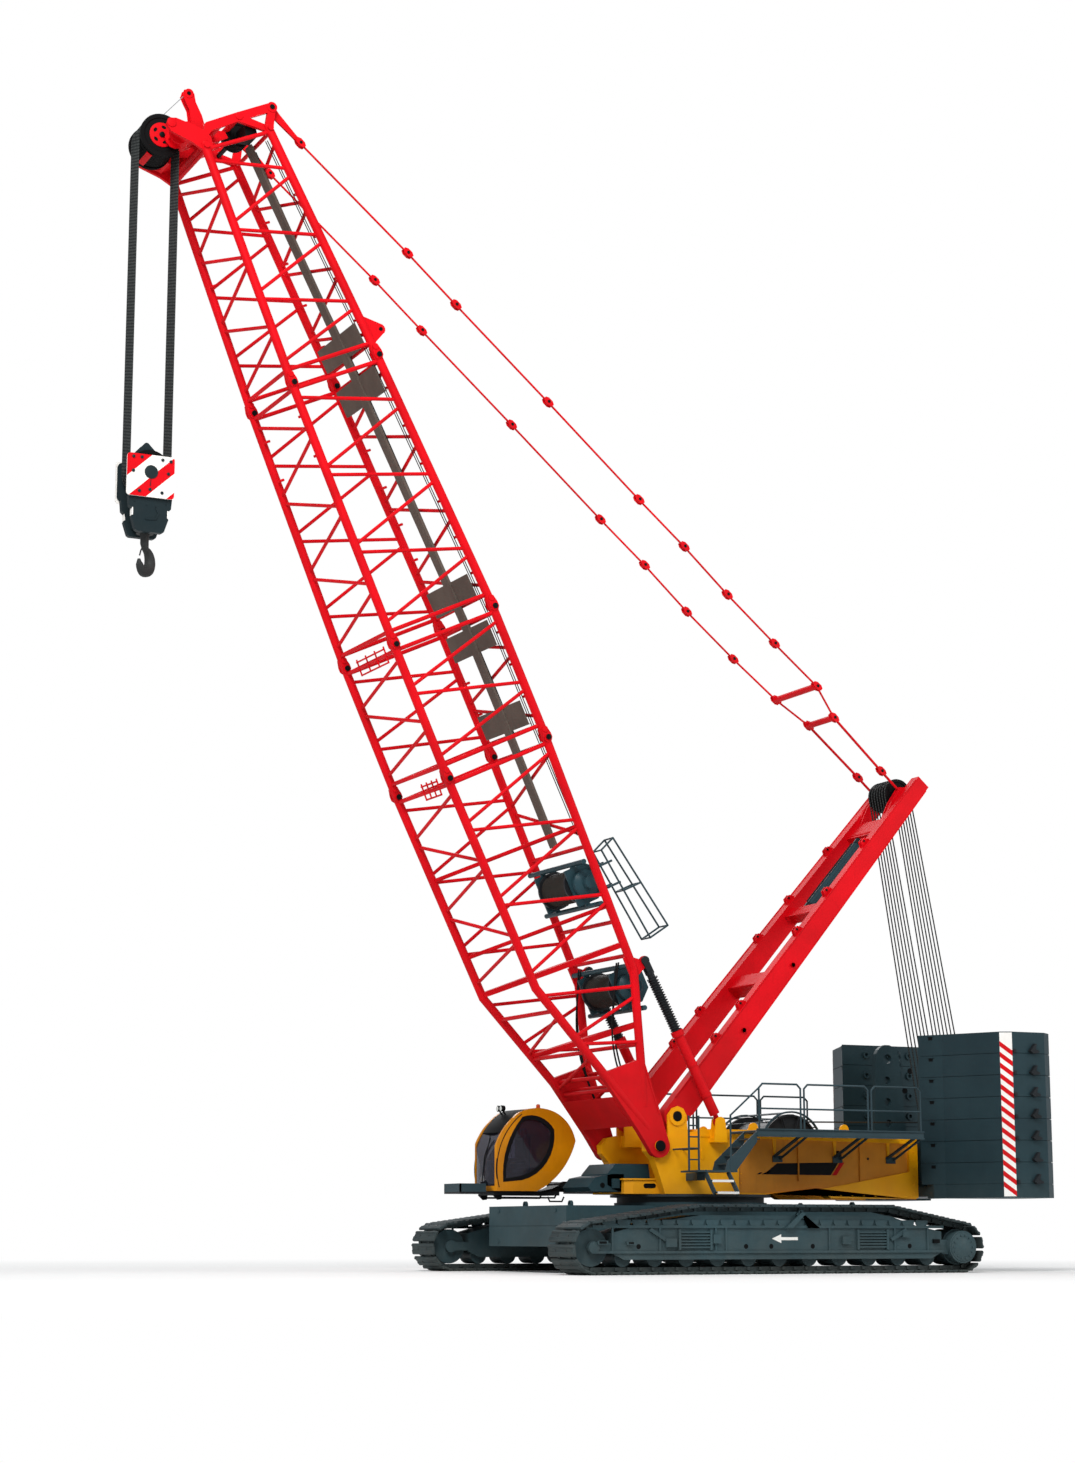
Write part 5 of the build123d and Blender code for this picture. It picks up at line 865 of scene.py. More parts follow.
# Seals round the door and round its pane: x and z limits, how far outside and inside the line they reach,
# and how far out they stand.
for x0, x1, z0, z1, grow, shrink, out in ((1.40, 2.08, 1.88, 3.16, 0.01, 0.012, 0.008),
                                          (1.52, 1.95, 2.40, 3.03, 0.03, 0.01, 0.006)):
    corners = ((x0, z0), (x1, z0), (x1, z1), (x0, z1), (x0, z0))
    rims.append(band(bent(*zip(corners, corners[1:]), steps=3), grow, shrink, CAB_FAR - out, CAB_FAR + 0.01,
                     side_on))


def screen(x, y, z):
    """On the bowed screen: x drops back by 0.11 m times (2 y / width) squared, towards either side."""
    y, z = np.asarray(y, float), np.asarray(z, float)
    return upright(np.asarray(x, float) - 0.11 * ((y - CAB_MIDDLE) / 0.59) ** 2, y, z)


# Side view of the front: x for heights up the screen, on the circle of the pressed shell.
front = bent(((2.54, 1.74), (2.62, 2.30), (1.95, 3.465)), ((1.95, 3.465), (1.54, 3.56), (1.095, 3.48)),
             steps=24)


def shade(first, last, out, thick, half):
    """A curved sheet over the front: rows of the side view from first to last, moved out along its normal."""
    line = front[first:last]
    run = np.gradient(line, axis=0)
    normal = np.stack([run[:, 1], -run[:, 0]], axis=1) / np.linalg.norm(run, axis=1, keepdims=True)
    if normal[len(normal) // 2, 0] < 0:
        normal = -normal
    y = CAB_MIDDLE + np.linspace(-half, half, 13)
    inner, outer = (screen(edge[:, :1], y, edge[:, 1:])
                    for edge in (line + normal * out, line + normal * (out + thick)))
    return np.concatenate([inner, outer[:, ::-1]], axis=1)


build("cab_visor", [shade(16, 26, 0.01, 0.035, 0.56)], rubber, "cab", "dark_steel")
rims.append(shade(1, 3, -0.01, 0.016, 0.56))
for y in (CAB_MIDDLE - 0.575, CAB_MIDDLE + 0.575):
    rims.append(tube(screen(front[1:24, 0] - 0.004, y, front[1:24, 1]), 0.02, 6))
build("cab_window_rubber", rims, rubber, "cab", "dark_steel")

# Wiper arm and blade, work lamps and the door's two grab rails.
LAMPS = [(CAB_MIDDLE + off, 3.56) for off in (-0.12, 0.06)]
arm = [tube(screen([2.625, 2.60, 2.50], CAB_MIDDLE + np.array((0.05, 0.12, 0.2)), [1.95, 2.5, 2.9]), 0.012,
            6), tube(screen([2.61, 2.53], CAB_MIDDLE + np.array((0.12, 0.24)), [2.3, 2.95]), 0.010, 6)]
for lamp in LAMPS:
    arm.append(tube(upright([2.02, 2.10, 2.12], lamp[0], [3.40, 3.47, 3.52]), 0.02))
    arm.append(turned(((0.03, 2.07), (0.065, 2.09), (0.07, 2.17), (0.06, 2.18)), lamp, end_on, 18))
for x, z in ((1.32, 2.1), (2.18, 1.95)):
    arm.append(tube(upright(x, CAB_FAR - np.array((0, 0.07, 0.07, 0)), z + np.array((0, 0.04, 0.76, 0.8))),
                    0.016))
# Conduits and brackets under the floor.
for y in (CAB_MIDDLE - 0.38, CAB_MIDDLE + 0.38):
    arm.append(tube(upright([0.95, 1.00, 2.35, 2.42, 2.42], y, [1.70, 1.60, 1.60, 1.63, 1.70]), 0.022))
    arm.append(slab(((2.30, 1.66), (2.52, 1.66), (2.40, 1.55), (2.32, 1.56)), y - 0.03, y + 0.03, side_on))
arm.append(tube(upright([0.80, 0.85, 1.15, 1.20], CAB_MIDDLE + 0.44, [1.62, 1.52, 1.52, 1.62]), 0.02))
build("cab_outer_fittings", arm, rubber, "cab", "dark_steel")
lens = paint("clear_lamp_lens", "DADCD8", "C9CCC8", "B0A890", roughness=0.15, coat=0.4, chips=0.0)
faces = turned(((0.058, 2.181), (0.045, 2.188), (0.01, 2.190)), LAMPS, end_on, 18)
build("cab_lamp_lenses", [faces], lens, "cab", "cab_glass")
beacon_glow = paint("orange_beacon_dome", "E2570C", "C94A08", "A0795C", roughness=0.2, coat=0.4, chips=0.0)
dome = [turned(((0.06, 3.545), (0.06, 3.575), (0.045, 3.59), (0.045, 3.64), (0.03, 3.66), (0.008, 3.665)),
               (1.32, CAB_MIDDLE + 0.2), flat_on, 18)]
build("cab_beacon", dome, beacon_glow, "cab", "cab_glass")

# Platform ahead of the screen: bearer bars, cross rods and a toe board.
rows = [((2.66, 3.32), (y, y + 0.008), (1.715, 1.742)) for y in np.arange(-2.52, -1.72, 0.045)]
rows += [((x, x + 0.012), (-2.53, -1.71), (1.73, 1.744)) for x in np.arange(2.70, 3.32, 0.1)]
rows += [(x, y, (1.72, 1.90)) for x, y in (((3.29, 3.33), (-2.54, -1.70)), ((2.70, 3.33), (-1.725, -1.70)),
                                           ((2.70, 3.33), (-2.54, -2.515)))]
build("cab_platform_grating", [blocks(rows)], rail_slate, "cab", "dark_steel")

# Seat: crowned cushions in grey cloth on a plastic pan, with arm consoles and joysticks.
seat_cloth = paint("charcoal_woven_seat_cloth", "3C3D42", "303136", "55504A", roughness=0.9, coat=0.0,
                   chips=0.0)
seat_plastic = paint("black_moulded_plastic", "1B1C1E", "151618", "3A3835", roughness=0.55, coat=0.0,
                     chips=0.0)
finish_node(seat_plastic, "cab_seat")


def cushion(centre, half, tilt=0.0, rows=14, around=28):
    """A crowned closed form: a superellipsoid of power 0.45. Its sides pull in by 4 % between its corners."""
    v = np.linspace(-pi / 2 + 0.02, pi / 2 - 0.02, rows)[:, None]
    a = np.arange(around) * 2 * pi / around
    swell = lambda t, p: np.sign(t) * np.abs(t) ** p
    pull = 1 - 0.04 * np.sin(2 * a) ** 2
    x = half[0] * swell(np.cos(v), 0.45) * swell(np.cos(a), 0.45) * pull
    y = half[1] * swell(np.cos(v), 0.45) * swell(np.sin(a), 0.45) * pull
    z = half[2] * swell(np.sin(v), 0.6) + 0 * a
    return upright(centre[0] + x * cos(tilt) + z * sin(tilt), centre[1] + y,
                   centre[2] - x * sin(tilt) + z * cos(tilt))


# Squab, back and headrest.
LEAN = -1.48
soft = [cushion((1.83, CAB_MIDDLE, 2.28), (0.25, 0.25, 0.07)), cushion((1.63, CAB_MIDDLE, 2.66),
                                                                       (0.30, 0.24, 0.07), LEAN),
        cushion((1.585, CAB_MIDDLE, 3.05), (0.09, 0.14, 0.05), LEAN)]
build("cab_seat_cushions", soft, seat_cloth, "cab", "seat_plastic")
sides = CAB_MIDDLE - 0.33, CAB_MIDDLE + 0.33
rest = [cushion((1.90, y, 2.42), (0.22, 0.05, 0.05)) for y in sides]
for y in sides:
    rest.append(tube(upright([2.02, 2.06], y, [2.45, 2.60]), 0.012))
    rest.append(turned(((0.01, 2.58), (0.025, 2.60), (0.03, 2.64), (0.015, 2.68)), (2.06, y), flat_on, 12))
build("cab_consoles", rest, seat_plastic, "cab", "seat_plastic")


# ---- Boom ----
# Four lattice sections of round tube, welded and sprayed signal red, joined by pins through forks on their
# chords. Hoist winches sit in the foot section; ropes and hoses run up a trough inside the back face.

BOOM_TURN = radians(65.1)


def on_boom(s, n, y):
    """s along the boom from its foot pin, n square to it towards the back face, y across, in metres."""
    s, n = np.asarray(s, float), np.asarray(n, float)
    return upright(s * cos(BOOM_TURN) - n * sin(BOOM_TURN), y,
                   FOOT_PIN[2] + s * sin(BOOM_TURN) + n * cos(BOOM_TURN))


# Chord stations: along, belly, back and half width of the chords' axes.
STATIONS = np.array(((9.11, -1.38, 1.17, 1.385), (12.16, -1.35, 1.18, 1.385), (18.11, -1.16, 0.97, 1.23),
                     (23.5, -0.86, 0.70, 1.08)))


def chord(s, face):
    """Across and half width of a chord's axis at s along the boom, linear between stations. Face 1 is the
    belly, 2 the back."""
    return np.interp(s, STATIONS[:, 0], STATIONS[:, face]), np.interp(s, STATIONS[:, 0], STATIONS[:, 3])


finish_node(signal_red, "boom_foot_section", "boom_short_section", "boom_long_section", "boom_top_section",
            "boom_head_cheeks")
finish_node(black_paint, "hoist_drum_upper", "hoist_drum_lower")
finish_node(slate, "hoist_winch_upper_frame", "hoist_winch_lower_frame")
finish_node(rail_slate, "boom_basket")
trough = paint("grey_brown_trough_sheet", "5D544C", "4A423C", "7A7066", roughness=0.6, coat=0.0, chips=0.02,
               low=5.0, high=30.0)
finish_node(trough, "boom_service_strip")

# Forks over the chords at every joint: two cheeks, a pin and its black end caps.
cheeks, ends = [], []
for s in STATIONS[:3, 0]:
    for face in (1, 2):
        n, half = chord(s, face)
        edge = [(s - 0.19, -0.05), (s - 0.12, -0.10), (s - 0.02, -0.10), (s + 0.14, -0.06)]
        outline = [(at, n + off) for at, off in edge] + [(at, n - off) for at, off in edge[::-1]]
        for y in (half - 0.105, half + 0.085):
            cheeks.append(slab(outline, y, y + 0.025, on_boom))
        ends.append(turned(((0.062, -0.152), (0.062, 0.152), (0.05, 0.158)), (s - 0.095, n, half), on_boom,
                           18))
        ends.append(turned(((0.03, -0.165), (0.03, 0.165)), (s - 0.095, n, half), on_boom, 6))
build("boom_joint_forks", cheeks + mirrored(cheeks), signal_red, "boom", "red_paint")
build("boom_joint_pins", ends + mirrored(ends), pin_black, "boom", "dark_steel")

# Sheet guides on both sides of the trough at the ends of the sections, 12 mm thick, each with a lip at its
# foot.
sheets, gauge = [], 0.012
for s0, s1 in ((9.42, 9.98), (11.28, 11.86), (12.36, 12.94), (17.25, 17.85), (18.32, 18.85)):
    n0, n1 = chord(s0, 2)[0] - 0.15, chord(s1, 2)[0] - 0.15
    for y0, y1 in ((-0.98, -0.03), (0.34, 1.20)):
        for last, n_last, low, high in ((s1, n1, 0.0, -gauge), (s0 + gauge, n0, 0.0, 0.06)):
            sheets.append(np.stack([on_boom([s0, last, last, s0], np.array([n0, n_last, n_last, n0]) + off,
                                            [y0, y0, y1, y1]) for off in (low, high)]))
build("boom_guide_sheets", sheets, trough, "boom", "dark_steel")

# Bollards that hold the pendants and ropes in transport: a stub and a round head, inside the chords.
stubs = []
for face, stations in ((2, (10.0, 10.75, 11.5, 12.9, 13.75, 14.6, 15.5, 16.4, 17.3, 18.9, 19.9, 20.9, 21.9)),
                       (1, (16.4, 17.3, 20.9))):
    for s in stations:
        n, half = chord(s, face)
        for side in (1, -1):
            foot = on_boom([s, s + 0.02], n, [side * (half - 0.06), side * (half - 0.20)])
            head = on_boom(s + 0.02, [n - 0.05, n + 0.09], side * (half - 0.20))
            stubs += [tube(foot, 0.026), tube(head, 0.03)]
build("boom_bollards", stubs, signal_red, "boom", "red_paint")

# Gusset with a hole on either back chord above the third joint, and the joint frames' small ladders.
gussets = []
for y in (1.20, -1.22):
    outline = bent(((18.28, 1.02), (18.42, 1.30)), ((18.42, 1.30), (18.50, 1.40), (18.62, 1.38)),
                   ((18.62, 1.38), (18.95, 0.98)), ((18.95, 0.98), (18.28, 1.02)), steps=5)
    gussets.append(slab(outline, y, y + 0.03, on_boom))
for s, y0, y1 in ((8.75, 0.1, 0.9), (11.78, -0.6, 0.9)):
    n = chord(s, 1)[0] - 0.04
    for rail in (s, s + 0.30):
        gussets.append(tube(on_boom(rail, n, [y0, y1]), 0.022, 6))
    for y in np.linspace(y0, y1, 4):
        gussets.append(tube(on_boom([s - 0.02, s + 0.36], [n, n + 0.02], y), 0.02, 6))
build("boom_gussets_and_ladders", gussets, signal_red, "boom", "red_paint")
# Each gusset's hole is a black disc of painted shade.
holes = turned(((0.045, -0.004), (0.045, 0.034)), [(18.54, 1.30, y) for y in (1.20, -1.22)], on_boom, 14)
build("boom_gusset_holes", [holes], pin_black, "boom", "dark_steel")

# Electric cables clipped inside the left back chord, and four hoses that wave a little along the trough.
lines = []
for offset, y0 in ((-0.10, -0.115), (-0.13, -0.15)):
    s = np.linspace(6.8, 23.2, 20)
    n, half = chord(s, 2)
    n = n + np.where(s < STATIONS[0, 0], (s - STATIONS[0, 0]) * -0.006, 0)
    lines.append(tube(on_boom(s, n + offset, half + y0), 0.012, 6))
s = np.linspace(9.3, 23.2, 60)
for y in (0.06, 0.12, 0.20, 0.26):
    n = chord(s, 2)[0] - 0.11 + 0.015 * np.sin(s * 0.9 + y * 20)
    lines.append(tube(on_boom(s, n, y + 0 * s), 0.013, 6))
build("boom_cables", lines, rubber, "boom", "wire_rope")

# Foot section: 20 mm webs between the foot plates, tubes square and slantwise across, and a seam along each
# plate's back edge.
webs, half = [], 1.15
for s0, n0, s1, n1 in ((0.62, -0.34, 1.36, -0.50), (0.55, 0.16, 1.10, 0.28), (1.02, -0.28, 1.02, 0.20)):
    shift = np.array([n1 - n0, s0 - s1]) / hypot(s1 - s0, n1 - n0) * 0.02
    webs.append(np.stack([on_boom(np.array([s0, s1, s1, s0]) + k * shift[0],
                                  np.array([n0, n1, n1, n0]) + k * shift[1],
                                  [-half, -half, half, half]) for k in (0, 1)]))
for s, n in ((1.5, -0.20), (1.8, -0.42), (1.7, 0.2)):
    webs.append(tube(on_boom(s, n, [-1.17, 1.17]), 0.045, 12))
for way in (-half, half):
    webs.append(tube(on_boom([0.95, 1.85], [-0.25, 0.3], [-way, way]), 0.036, 10))
seam = [tube(on_boom([0.62, 1.80], [0.275, 0.41], 1.34), 0.014, 6)]
webs += mirrored(seam) + seam
# Box beams across the section, deepest in the middle, from the right belly chord to the left back chord.
for s, belly, back, half in ((4.2, -1.31, 1.045, 1.335), (2.5, -0.75, 0.63, 1.30)):
    ends = np.array([(-half, belly), (half, back)])
    along = (ends[1] - ends[0]) / np.linalg.norm(ends[1] - ends[0])
    square = np.array((-along[1], along[0]))
    middle = ends.mean(axis=0)
    rim = [ends[0] + 0.05 * square, middle + 0.13 * square, ends[1] + 0.05 * square,
           ends[1] - 0.05 * square, middle - 0.13 * square, ends[0] - 0.05 * square]
    webs.append(slab(rim, s, s + 0.12, lambda y, n, s: on_boom(s, n, y)))
build("boom_foot_webs", webs, signal_red, "boom", "red_paint")
hoses = []
for k, (y, depth) in enumerate(((-0.9, 0.30), (-0.82, 0.36), (0.84, 0.28), (0.92, 0.40))):
    t = np.linspace(0, 1, 24)
    hoses.append(tube(on_boom(0.7 + 3.2 * t, 0.05 + 0.9 * t - depth * np.sin(pi * t),
                              y + 0.05 * np.sin(5 * t + k)), 0.02, 7))
build("boom_foot_hoses", hoses, rubber, "boom", "dark_steel")

# Hoist winches: rope on each drum, end covers and motors outside the frames.
for name in ("upper", "lower"):
    centre = middle_of(f"hoist_drum_{name}")
    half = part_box(f"hoist_drum_{name}")[1].y - 0.10
    build(f"hoist_rope_wraps_{name}", [wraps(centre, 0.345, half, 0.034, 0.014, side_on, 36)], wire,
          f"{name}_hoist_winch", "wire_rope")
    bolts = [(centre[0] + 0.265 * cos(b), centre[1] + 0.265 * sin(b)) for b in np.arange(12) * pi / 6]
    covers = []
    for lay in (beside(0.80), beside(-0.80, -1.0)):
        covers.append(turned(((0.30, 0), (0.30, 0.10), (0.22, 0.16), (0.15, 0.18), (0.15, 0.34),
                              (0.11, 0.36)), centre, lay, 28))
        covers.append(turned(((0.016, 0.098), (0.016, 0.118)), bolts, lay, 6))
    build(f"hoist_winch_covers_{name}", covers, slate, "boom", "dark_steel")

# Grooved cast sheaves, keyed side by side on their hubs; each groove keeps one rope.


def grooved(centre, radius, offsets, width, shaft, reach, lay=side_on):
    """Sheaves on one axle, at each offset across. A wheel's rim is as wide as its place and stands 22 mm
    above the groove in its middle, the web is half as wide; hub and axle are plain turned bars."""
    half = width / 2 - 0.003
    side = ((0.40 * radius, 0.5), (0.82 * radius, 0.45), (0.86 * radius, 1.0), (radius + 0.022, 1.0),
            (radius + 0.022, 0.75), (radius, 0.3))
    groups = []
    for y in offsets:
        rim = [(r, y - half * k) for r, k in side] + [(r, y + half * k) for r, k in side[::-1]]
        groups.append((turned(rim, centre, lay, 40), True))
    hub = radius * 0.42
    groups.append(turned(((hub, offsets[0] - half), (hub, offsets[-1] + half)), centre, lay, 32))
    groups.append(turned(((shaft / 2, -reach), (shaft / 2, reach)), centre, lay, 20))
    return groups


# ---- Boom head ----
# Welded red cheeks carry two rows of cast sheaves on a common axle, the jib horn with its eye and a thin
# stay, curved rope guards over the sheaves, and edge beams out to the pendant pins.

CHEEK_FACE, HUB_FACE = 0.35, 0.445
FALLS = (-0.25, -0.15, -0.05, 0.05, 0.15, 0.25)
HEAD_RADIUS = 0.43
HEAD_AT = middle_of("boom_head_sheaves")
build("boom_head_grooved_sheaves", grooved(HEAD_AT, HEAD_RADIUS, FALLS, 0.08, 0.14, 0.31), pin_black,
      "head_sheaves", "dark_steel", "boom_head_sheaves")
# An auxiliary sheave turns outside each cheek; a red hub plate with oval holes closes it. The oval holes are
# black patches of painted shade, and the hub's pin end is black steel.
outer = grooved(HEAD_AT, 0.45, (CHEEK_FACE + 0.05,), 0.08, 0.14, CHEEK_FACE + 0.09)[:2]
build("head_outer_sheaves", outer + mirrored(outer), pin_black, "boom", "dark_steel")
hub = [turned(((0.27, CHEEK_FACE + 0.06), (0.27, HUB_FACE - 0.006), (0.25, HUB_FACE)), HEAD_AT, side_on, 40)]
build("head_hub_plates", hub + mirrored(hub), signal_red, "boom", "red_paint")
u, ovals = np.arange(14)[:, None] * pi / 7, []
for b in np.radians((30, 102, 174, 246, 318)):
    away, round_ = np.array((cos(b), sin(b))), np.array((-sin(b), cos(b)))
    line = np.array(HEAD_AT) + 0.175 * away + np.cos(u) * 0.035 * away + np.sin(u) * 0.055 * round_
    ovals.append(slab(line, HUB_FACE - 0.002, HUB_FACE + 0.002, side_on))
ovals.append(turned(((0.06, HUB_FACE - 0.002), (0.06, HUB_FACE + 0.03), (0.05, HUB_FACE + 0.035)), HEAD_AT,
                    side_on, 20))
build("head_hub_holes", ovals + mirrored(ovals), pin_black, "boom", "dark_steel")

# Curved rope guards, 20 mm thick: first and last angle, and inner radius.
guards = []
for first, last, radius in ((62, 118, 0.485), (-70, -54, 0.47)):
    b = np.radians(np.linspace(first, last, 12))
    inner, outer = (np.stack([HEAD_AT[0] + r * np.cos(b), HEAD_AT[1] + r * np.sin(b)], axis=1)
                    for r in (radius, radius + 0.02))
    guards.append(slab(np.concatenate([inner, outer[::-1]]), -0.30, 0.30, side_on))
# Stiffened boxes between the cheeks and the edge beams, and their gussets.
for y0, y1 in ((0.37, 0.98), (-0.98, -0.37)):
    for box in (((23.62, -0.93), (23.78, -1.02), (23.98, -1.28), (23.90, -1.36), (23.62, -1.12)),
                ((23.52, -0.72), (23.66, -0.62), (23.72, -0.70), (23.58, -0.82))):
        guards.append(slab(box, y0, y1, on_boom))
for y in (0.52, 0.80, -0.55, -0.83):
    guards.append(slab(bent(((23.55, -0.74), (23.86, -0.70), (24.10, -1.20)), ((24.10, -1.20), (23.9, -1.42),
                                                                               (23.66, -1.16)),
                            ((23.66, -1.16), (23.55, -0.74)), steps=6), y, y + 0.025, on_boom))
# Bosses at the pins of the edge beams: the post's foot, the pendant pin and the beam's front end.
PENDANT_AT = (23.84, 0.967)
for s in (-1, 1):
    guards.append(turned(((0.085, s * 1.09), (0.085, s * 1.115), (0.06, s * 1.12)), (23.845, 0.15), on_boom,
                         18))
    guards.append(turned(((0.115, s * 1.09), (0.115, s * 1.11)), PENDANT_AT, on_boom, 22))
    guards.append(turned(((0.10, s * 1.12), (0.10, s * 1.14), (0.07, s * 1.15)), (24.08, -1.40), on_boom, 20))
# Flanges along the horn's edges, its eye and the web between them.
for y in (-0.09, 0.09):
    guards.append(tube(on_boom([24.01, 24.33, 24.65, 24.84], [-0.225, -0.185, -0.20, -0.155], y), 0.012, 6))
    guards.append(tube(on_boom([24.01, 24.546, 24.69, 24.89], [-0.545, -0.39, -0.402, -0.405], y), 0.012, 6))
EYE_AT = (24.87, -0.26)
guards.append((turned(((0.105, -0.10), (0.105, 0.10), (0.05, 0.10), (0.05, -0.10)), EYE_AT, on_boom, 24),
               True))
guards.append(slab(((24.20, -0.46), (24.20, -0.24), (24.55, -0.235), (24.55, -0.355)), -0.05, 0.05, on_boom))
build("boom_head_fittings", guards, signal_red, "boom", "red_paint")
blacks = [turned(((0.055, s * 1.115), (0.055, s * 1.128)), PENDANT_AT, on_boom, 16) for s in (-1, 1)]
blacks.append(turned(((0.035, -0.104), (0.035, 0.104)), EYE_AT, on_boom, 14))
blacks.append(slab(((23.35, 0.45), (23.60, 0.50), (23.70, 0.28), (23.45, 0.20)), 0.40, 0.95, on_boom))
build("boom_head_dark_fittings", blacks, pin_black, "boom", "dark_steel")
stay = [tube(on_boom([24.86, 24.42], [-0.37, -1.30], [0.06, 0.34]), 0.008, 6)]
build("horn_stay", stay, galvanised, "boom", "galvanised_steel")


def beside_pin(s, n):
    """A place on the boom, s along it and n towards its back, as x from the boom foot pin and z."""
    x, _, z = on_boom(s, n, 0.0)
    return x - FOOT_PIN[0], z


# A second row of small guide sheaves, where the hoist ropes cross from the trough to the head.
guide = grooved(beside_pin(23.66, 0.36), 0.26, (-0.02, 0.08, 0.18, 0.28), 0.07, 0.10, 1.0)
build("boom_guide_sheaves", guide, pin_black, "boom", "dark_steel")


# ---- Mast and its rigging ----
# Two tapered red box legs with cross boxes; cast sheaves and pendant ears at the head, a slate erection
# cylinder between the legs, and lifting lugs with pins along the legs.

finish_node(signal_red, "mast", "pendants", "backstop_tubes")
finish_node(slate, "mast_cylinder")
MAST_TURN = radians(48.65)


def on_mast(s, n, y):
    """s along the mast from its foot pin, n square to it towards the boom, y across, in metres."""
    s, n = np.asarray(s, float), np.asarray(n, float)
    return upright(MAST_FOOT[0] - s * cos(MAST_TURN) + n * sin(MAST_TURN), y,
                   MAST_FOOT[1] + s * sin(MAST_TURN) + n * cos(MAST_TURN))


# Sheaves in both ends of the luffing tackle: seven on each axle, with their places across.
MAST_RADIUS, LOWER_RADIUS = 0.33, 0.36
MAST_ROW, LOWER_ROW = 0.11 * (np.arange(7) - 3), 0.16 * (np.arange(7) - 3)
MAST_HEAD, LOWER_AT = middle_of("mast_head_sheaves"), middle_of("lower_luffing_sheaves")
build("mast_grooved_sheaves", grooved(MAST_HEAD, MAST_RADIUS, MAST_ROW, 0.08, 0.13, 0.41), pin_black, "mast",
      "dark_steel", "mast_head_sheaves")
build("lower_grooved_sheaves", grooved(LOWER_AT, LOWER_RADIUS, LOWER_ROW, 0.09, 0.15, 0.64), pin_black,
      "superstructure", "dark_steel", "lower_luffing_sheaves")

# Lug pairs with pins on the legs' fronts, pads on their outer faces and seam flanges along their edges. The
# legs draw in from y 1.0 m to 0.73 m over the mast's length.
MAST_LENGTH = 10.42
lugs, pins = [], []
for y in (-1, 1):
    for s in (2.05, 3.05, 5.35, 6.6, 8.2):
        part = s / MAST_LENGTH
        middle, n = y * (1.0 - 0.27 * part), 0.27 - 0.02 * part
        for at in (middle - 0.05, middle + 0.05):
            lugs.append(slab(((s - 0.14, n), (s - 0.07, n + 0.13), (s + 0.07, n + 0.13), (s + 0.14, n)),
                             at - 0.012, at + 0.012, on_mast))
        pins.append(turned(((0.025, middle - 0.08), (0.025, middle + 0.08)), (s, n + 0.09), on_mast, 10))
    # Each pad is laid three times in one place, which renders it dark.
    for s in (2.6, 4.6):
        reach = 1.15 - 0.27 * s / MAST_LENGTH
        lugs += 3 * [turned(((0.05, y * reach), (0.05, y * (reach + 0.05))), (s, -0.05), on_mast, 12)]
    for n0, n1 in ((0.285, 0.265), (-0.275, -0.105)):
        lugs.append(tube(on_mast([0.3, 10.3], [n0, n1], [y * 1.155, y * 0.885]), 0.012, 6))
for s in (3.88, 6.15, 8.77):
    lugs.append(tube(on_mast(s, 0.16, [-0.75, 0.75]), 0.02))
for y in (-1, 1):
    lugs.append(turned(((0.15, y * 0.455), (0.15, y * 0.475)), (9.99, 0.206), on_mast, 22))
    pins.append(turned(((0.055, y * 0.60), (0.055, y * 0.635)), (9.99, 0.206), on_mast, 16))
build("mast_lugs", lugs, signal_red, "mast", "red_paint")
build("mast_lug_pins", pins, pin_black, "mast", "dark_steel")
# The cylinder's rod, the clamps at either end of its barrel and a feed pipe along it.
ram = [tube(on_mast([8.70, 9.40], 0.0, -0.2), 0.055, 16)]
for first, last in ((6.46, 6.60), (8.56, 8.71)):
    ram.append((turned(((0.11, first), (0.11, last), (0.09, last), (0.09, first)), (0.03, -0.2),
                       lambda u, v, w: on_mast(w, u, v), 20), True))
ram.append(tube(on_mast([6.6, 8.5], 0.15, -0.2), 0.018, 6))
build("mast_cylinder_fittings", ram, black_paint, "mast", "dark_steel")

# Pendant joints: link plates on both sides of every pin, with black pin ends. Columns: x, z, y.
JOINTS = ((8.45, 24.06, 0.95), (5.90, 21.97, 0.95), (4.73, 20.96, 0.95), (2.47, 19.04, 0.95),
          (0.19, 17.07, 0.95), (-0.96, 16.11, 0.95), (-2.07, 15.11, 0.95), (-3.30, 14.09, 0.94),
          (-4.43, 13.20, 0.91), (-5.10, 12.58, 0.56), (-6.40, 11.43, 0.50))


def along_line(start, end, at, outline):
    """An outline of (along, across) pairs on the line from start to end, measured from the place at."""
    way = (np.array(end) - start) / np.hypot(*(np.array(end) - start))
    return [at + way * a + np.array((-way[1], way[0])) * b for a, b in outline]


LINK = ((-0.13, 0.03), (-0.06, 0.07), (0.06, 0.07), (0.13, 0.03), (0.13, -0.03), (0.06, -0.07),
        (-0.06, -0.07), (-0.13, -0.03))
links, caps = [], []
for before, (x, z, y) in zip(((9.265, 24.80), *(place[:2] for place in JOINTS)), JOINTS):
    shape = along_line(before, (x, z), np.array((x, z)), LINK)
    links += [slab(shape, y + at - 0.009, y + at + 0.009, side_on) for at in (-0.055, 0.055)]
    caps.append(turned(((0.036, y - 0.072), (0.036, y + 0.072), (0.026, y + 0.078)), (x, z), side_on, 12))
# The first link is a long tapered plate pair on the boom's pendant pin.
tip = np.array(beside_pin(*PENDANT_AT))
upper = ((-0.10, 0.05), (0.0, 0.12), (0.2, 0.085), (0.75, 0.05), (1.02, 0.045))
plate = along_line(tip, JOINTS[0][:2], tip, (*upper, *((a, -b) for a, b in upper[::-1])))
links += [slab(plate, 0.95 + at - 0.011, 0.95 + at + 0.011, side_on) for at in (-0.017, 0.017)]
build("pendant_links", links + mirrored(links), signal_red, "pendants", "red_paint")
build("pendant_pins", caps + mirrored(caps), pin_black, "pendants", "dark_steel")

# Backstops: a black spring coil works between a collar on the rod and the tube's mouth.
finish_node(black_paint, "backstop_rods")
STROKE = np.array((0.464849, 0.0, 0.88539))
BACKSTOP_FOOT = np.array((-1.45, 1.335, 3.2))
COIL_FROM, COIL_TO, COIL_TURNS, COIL_RADIUS = 2.20, 3.42, 21.0, 0.102


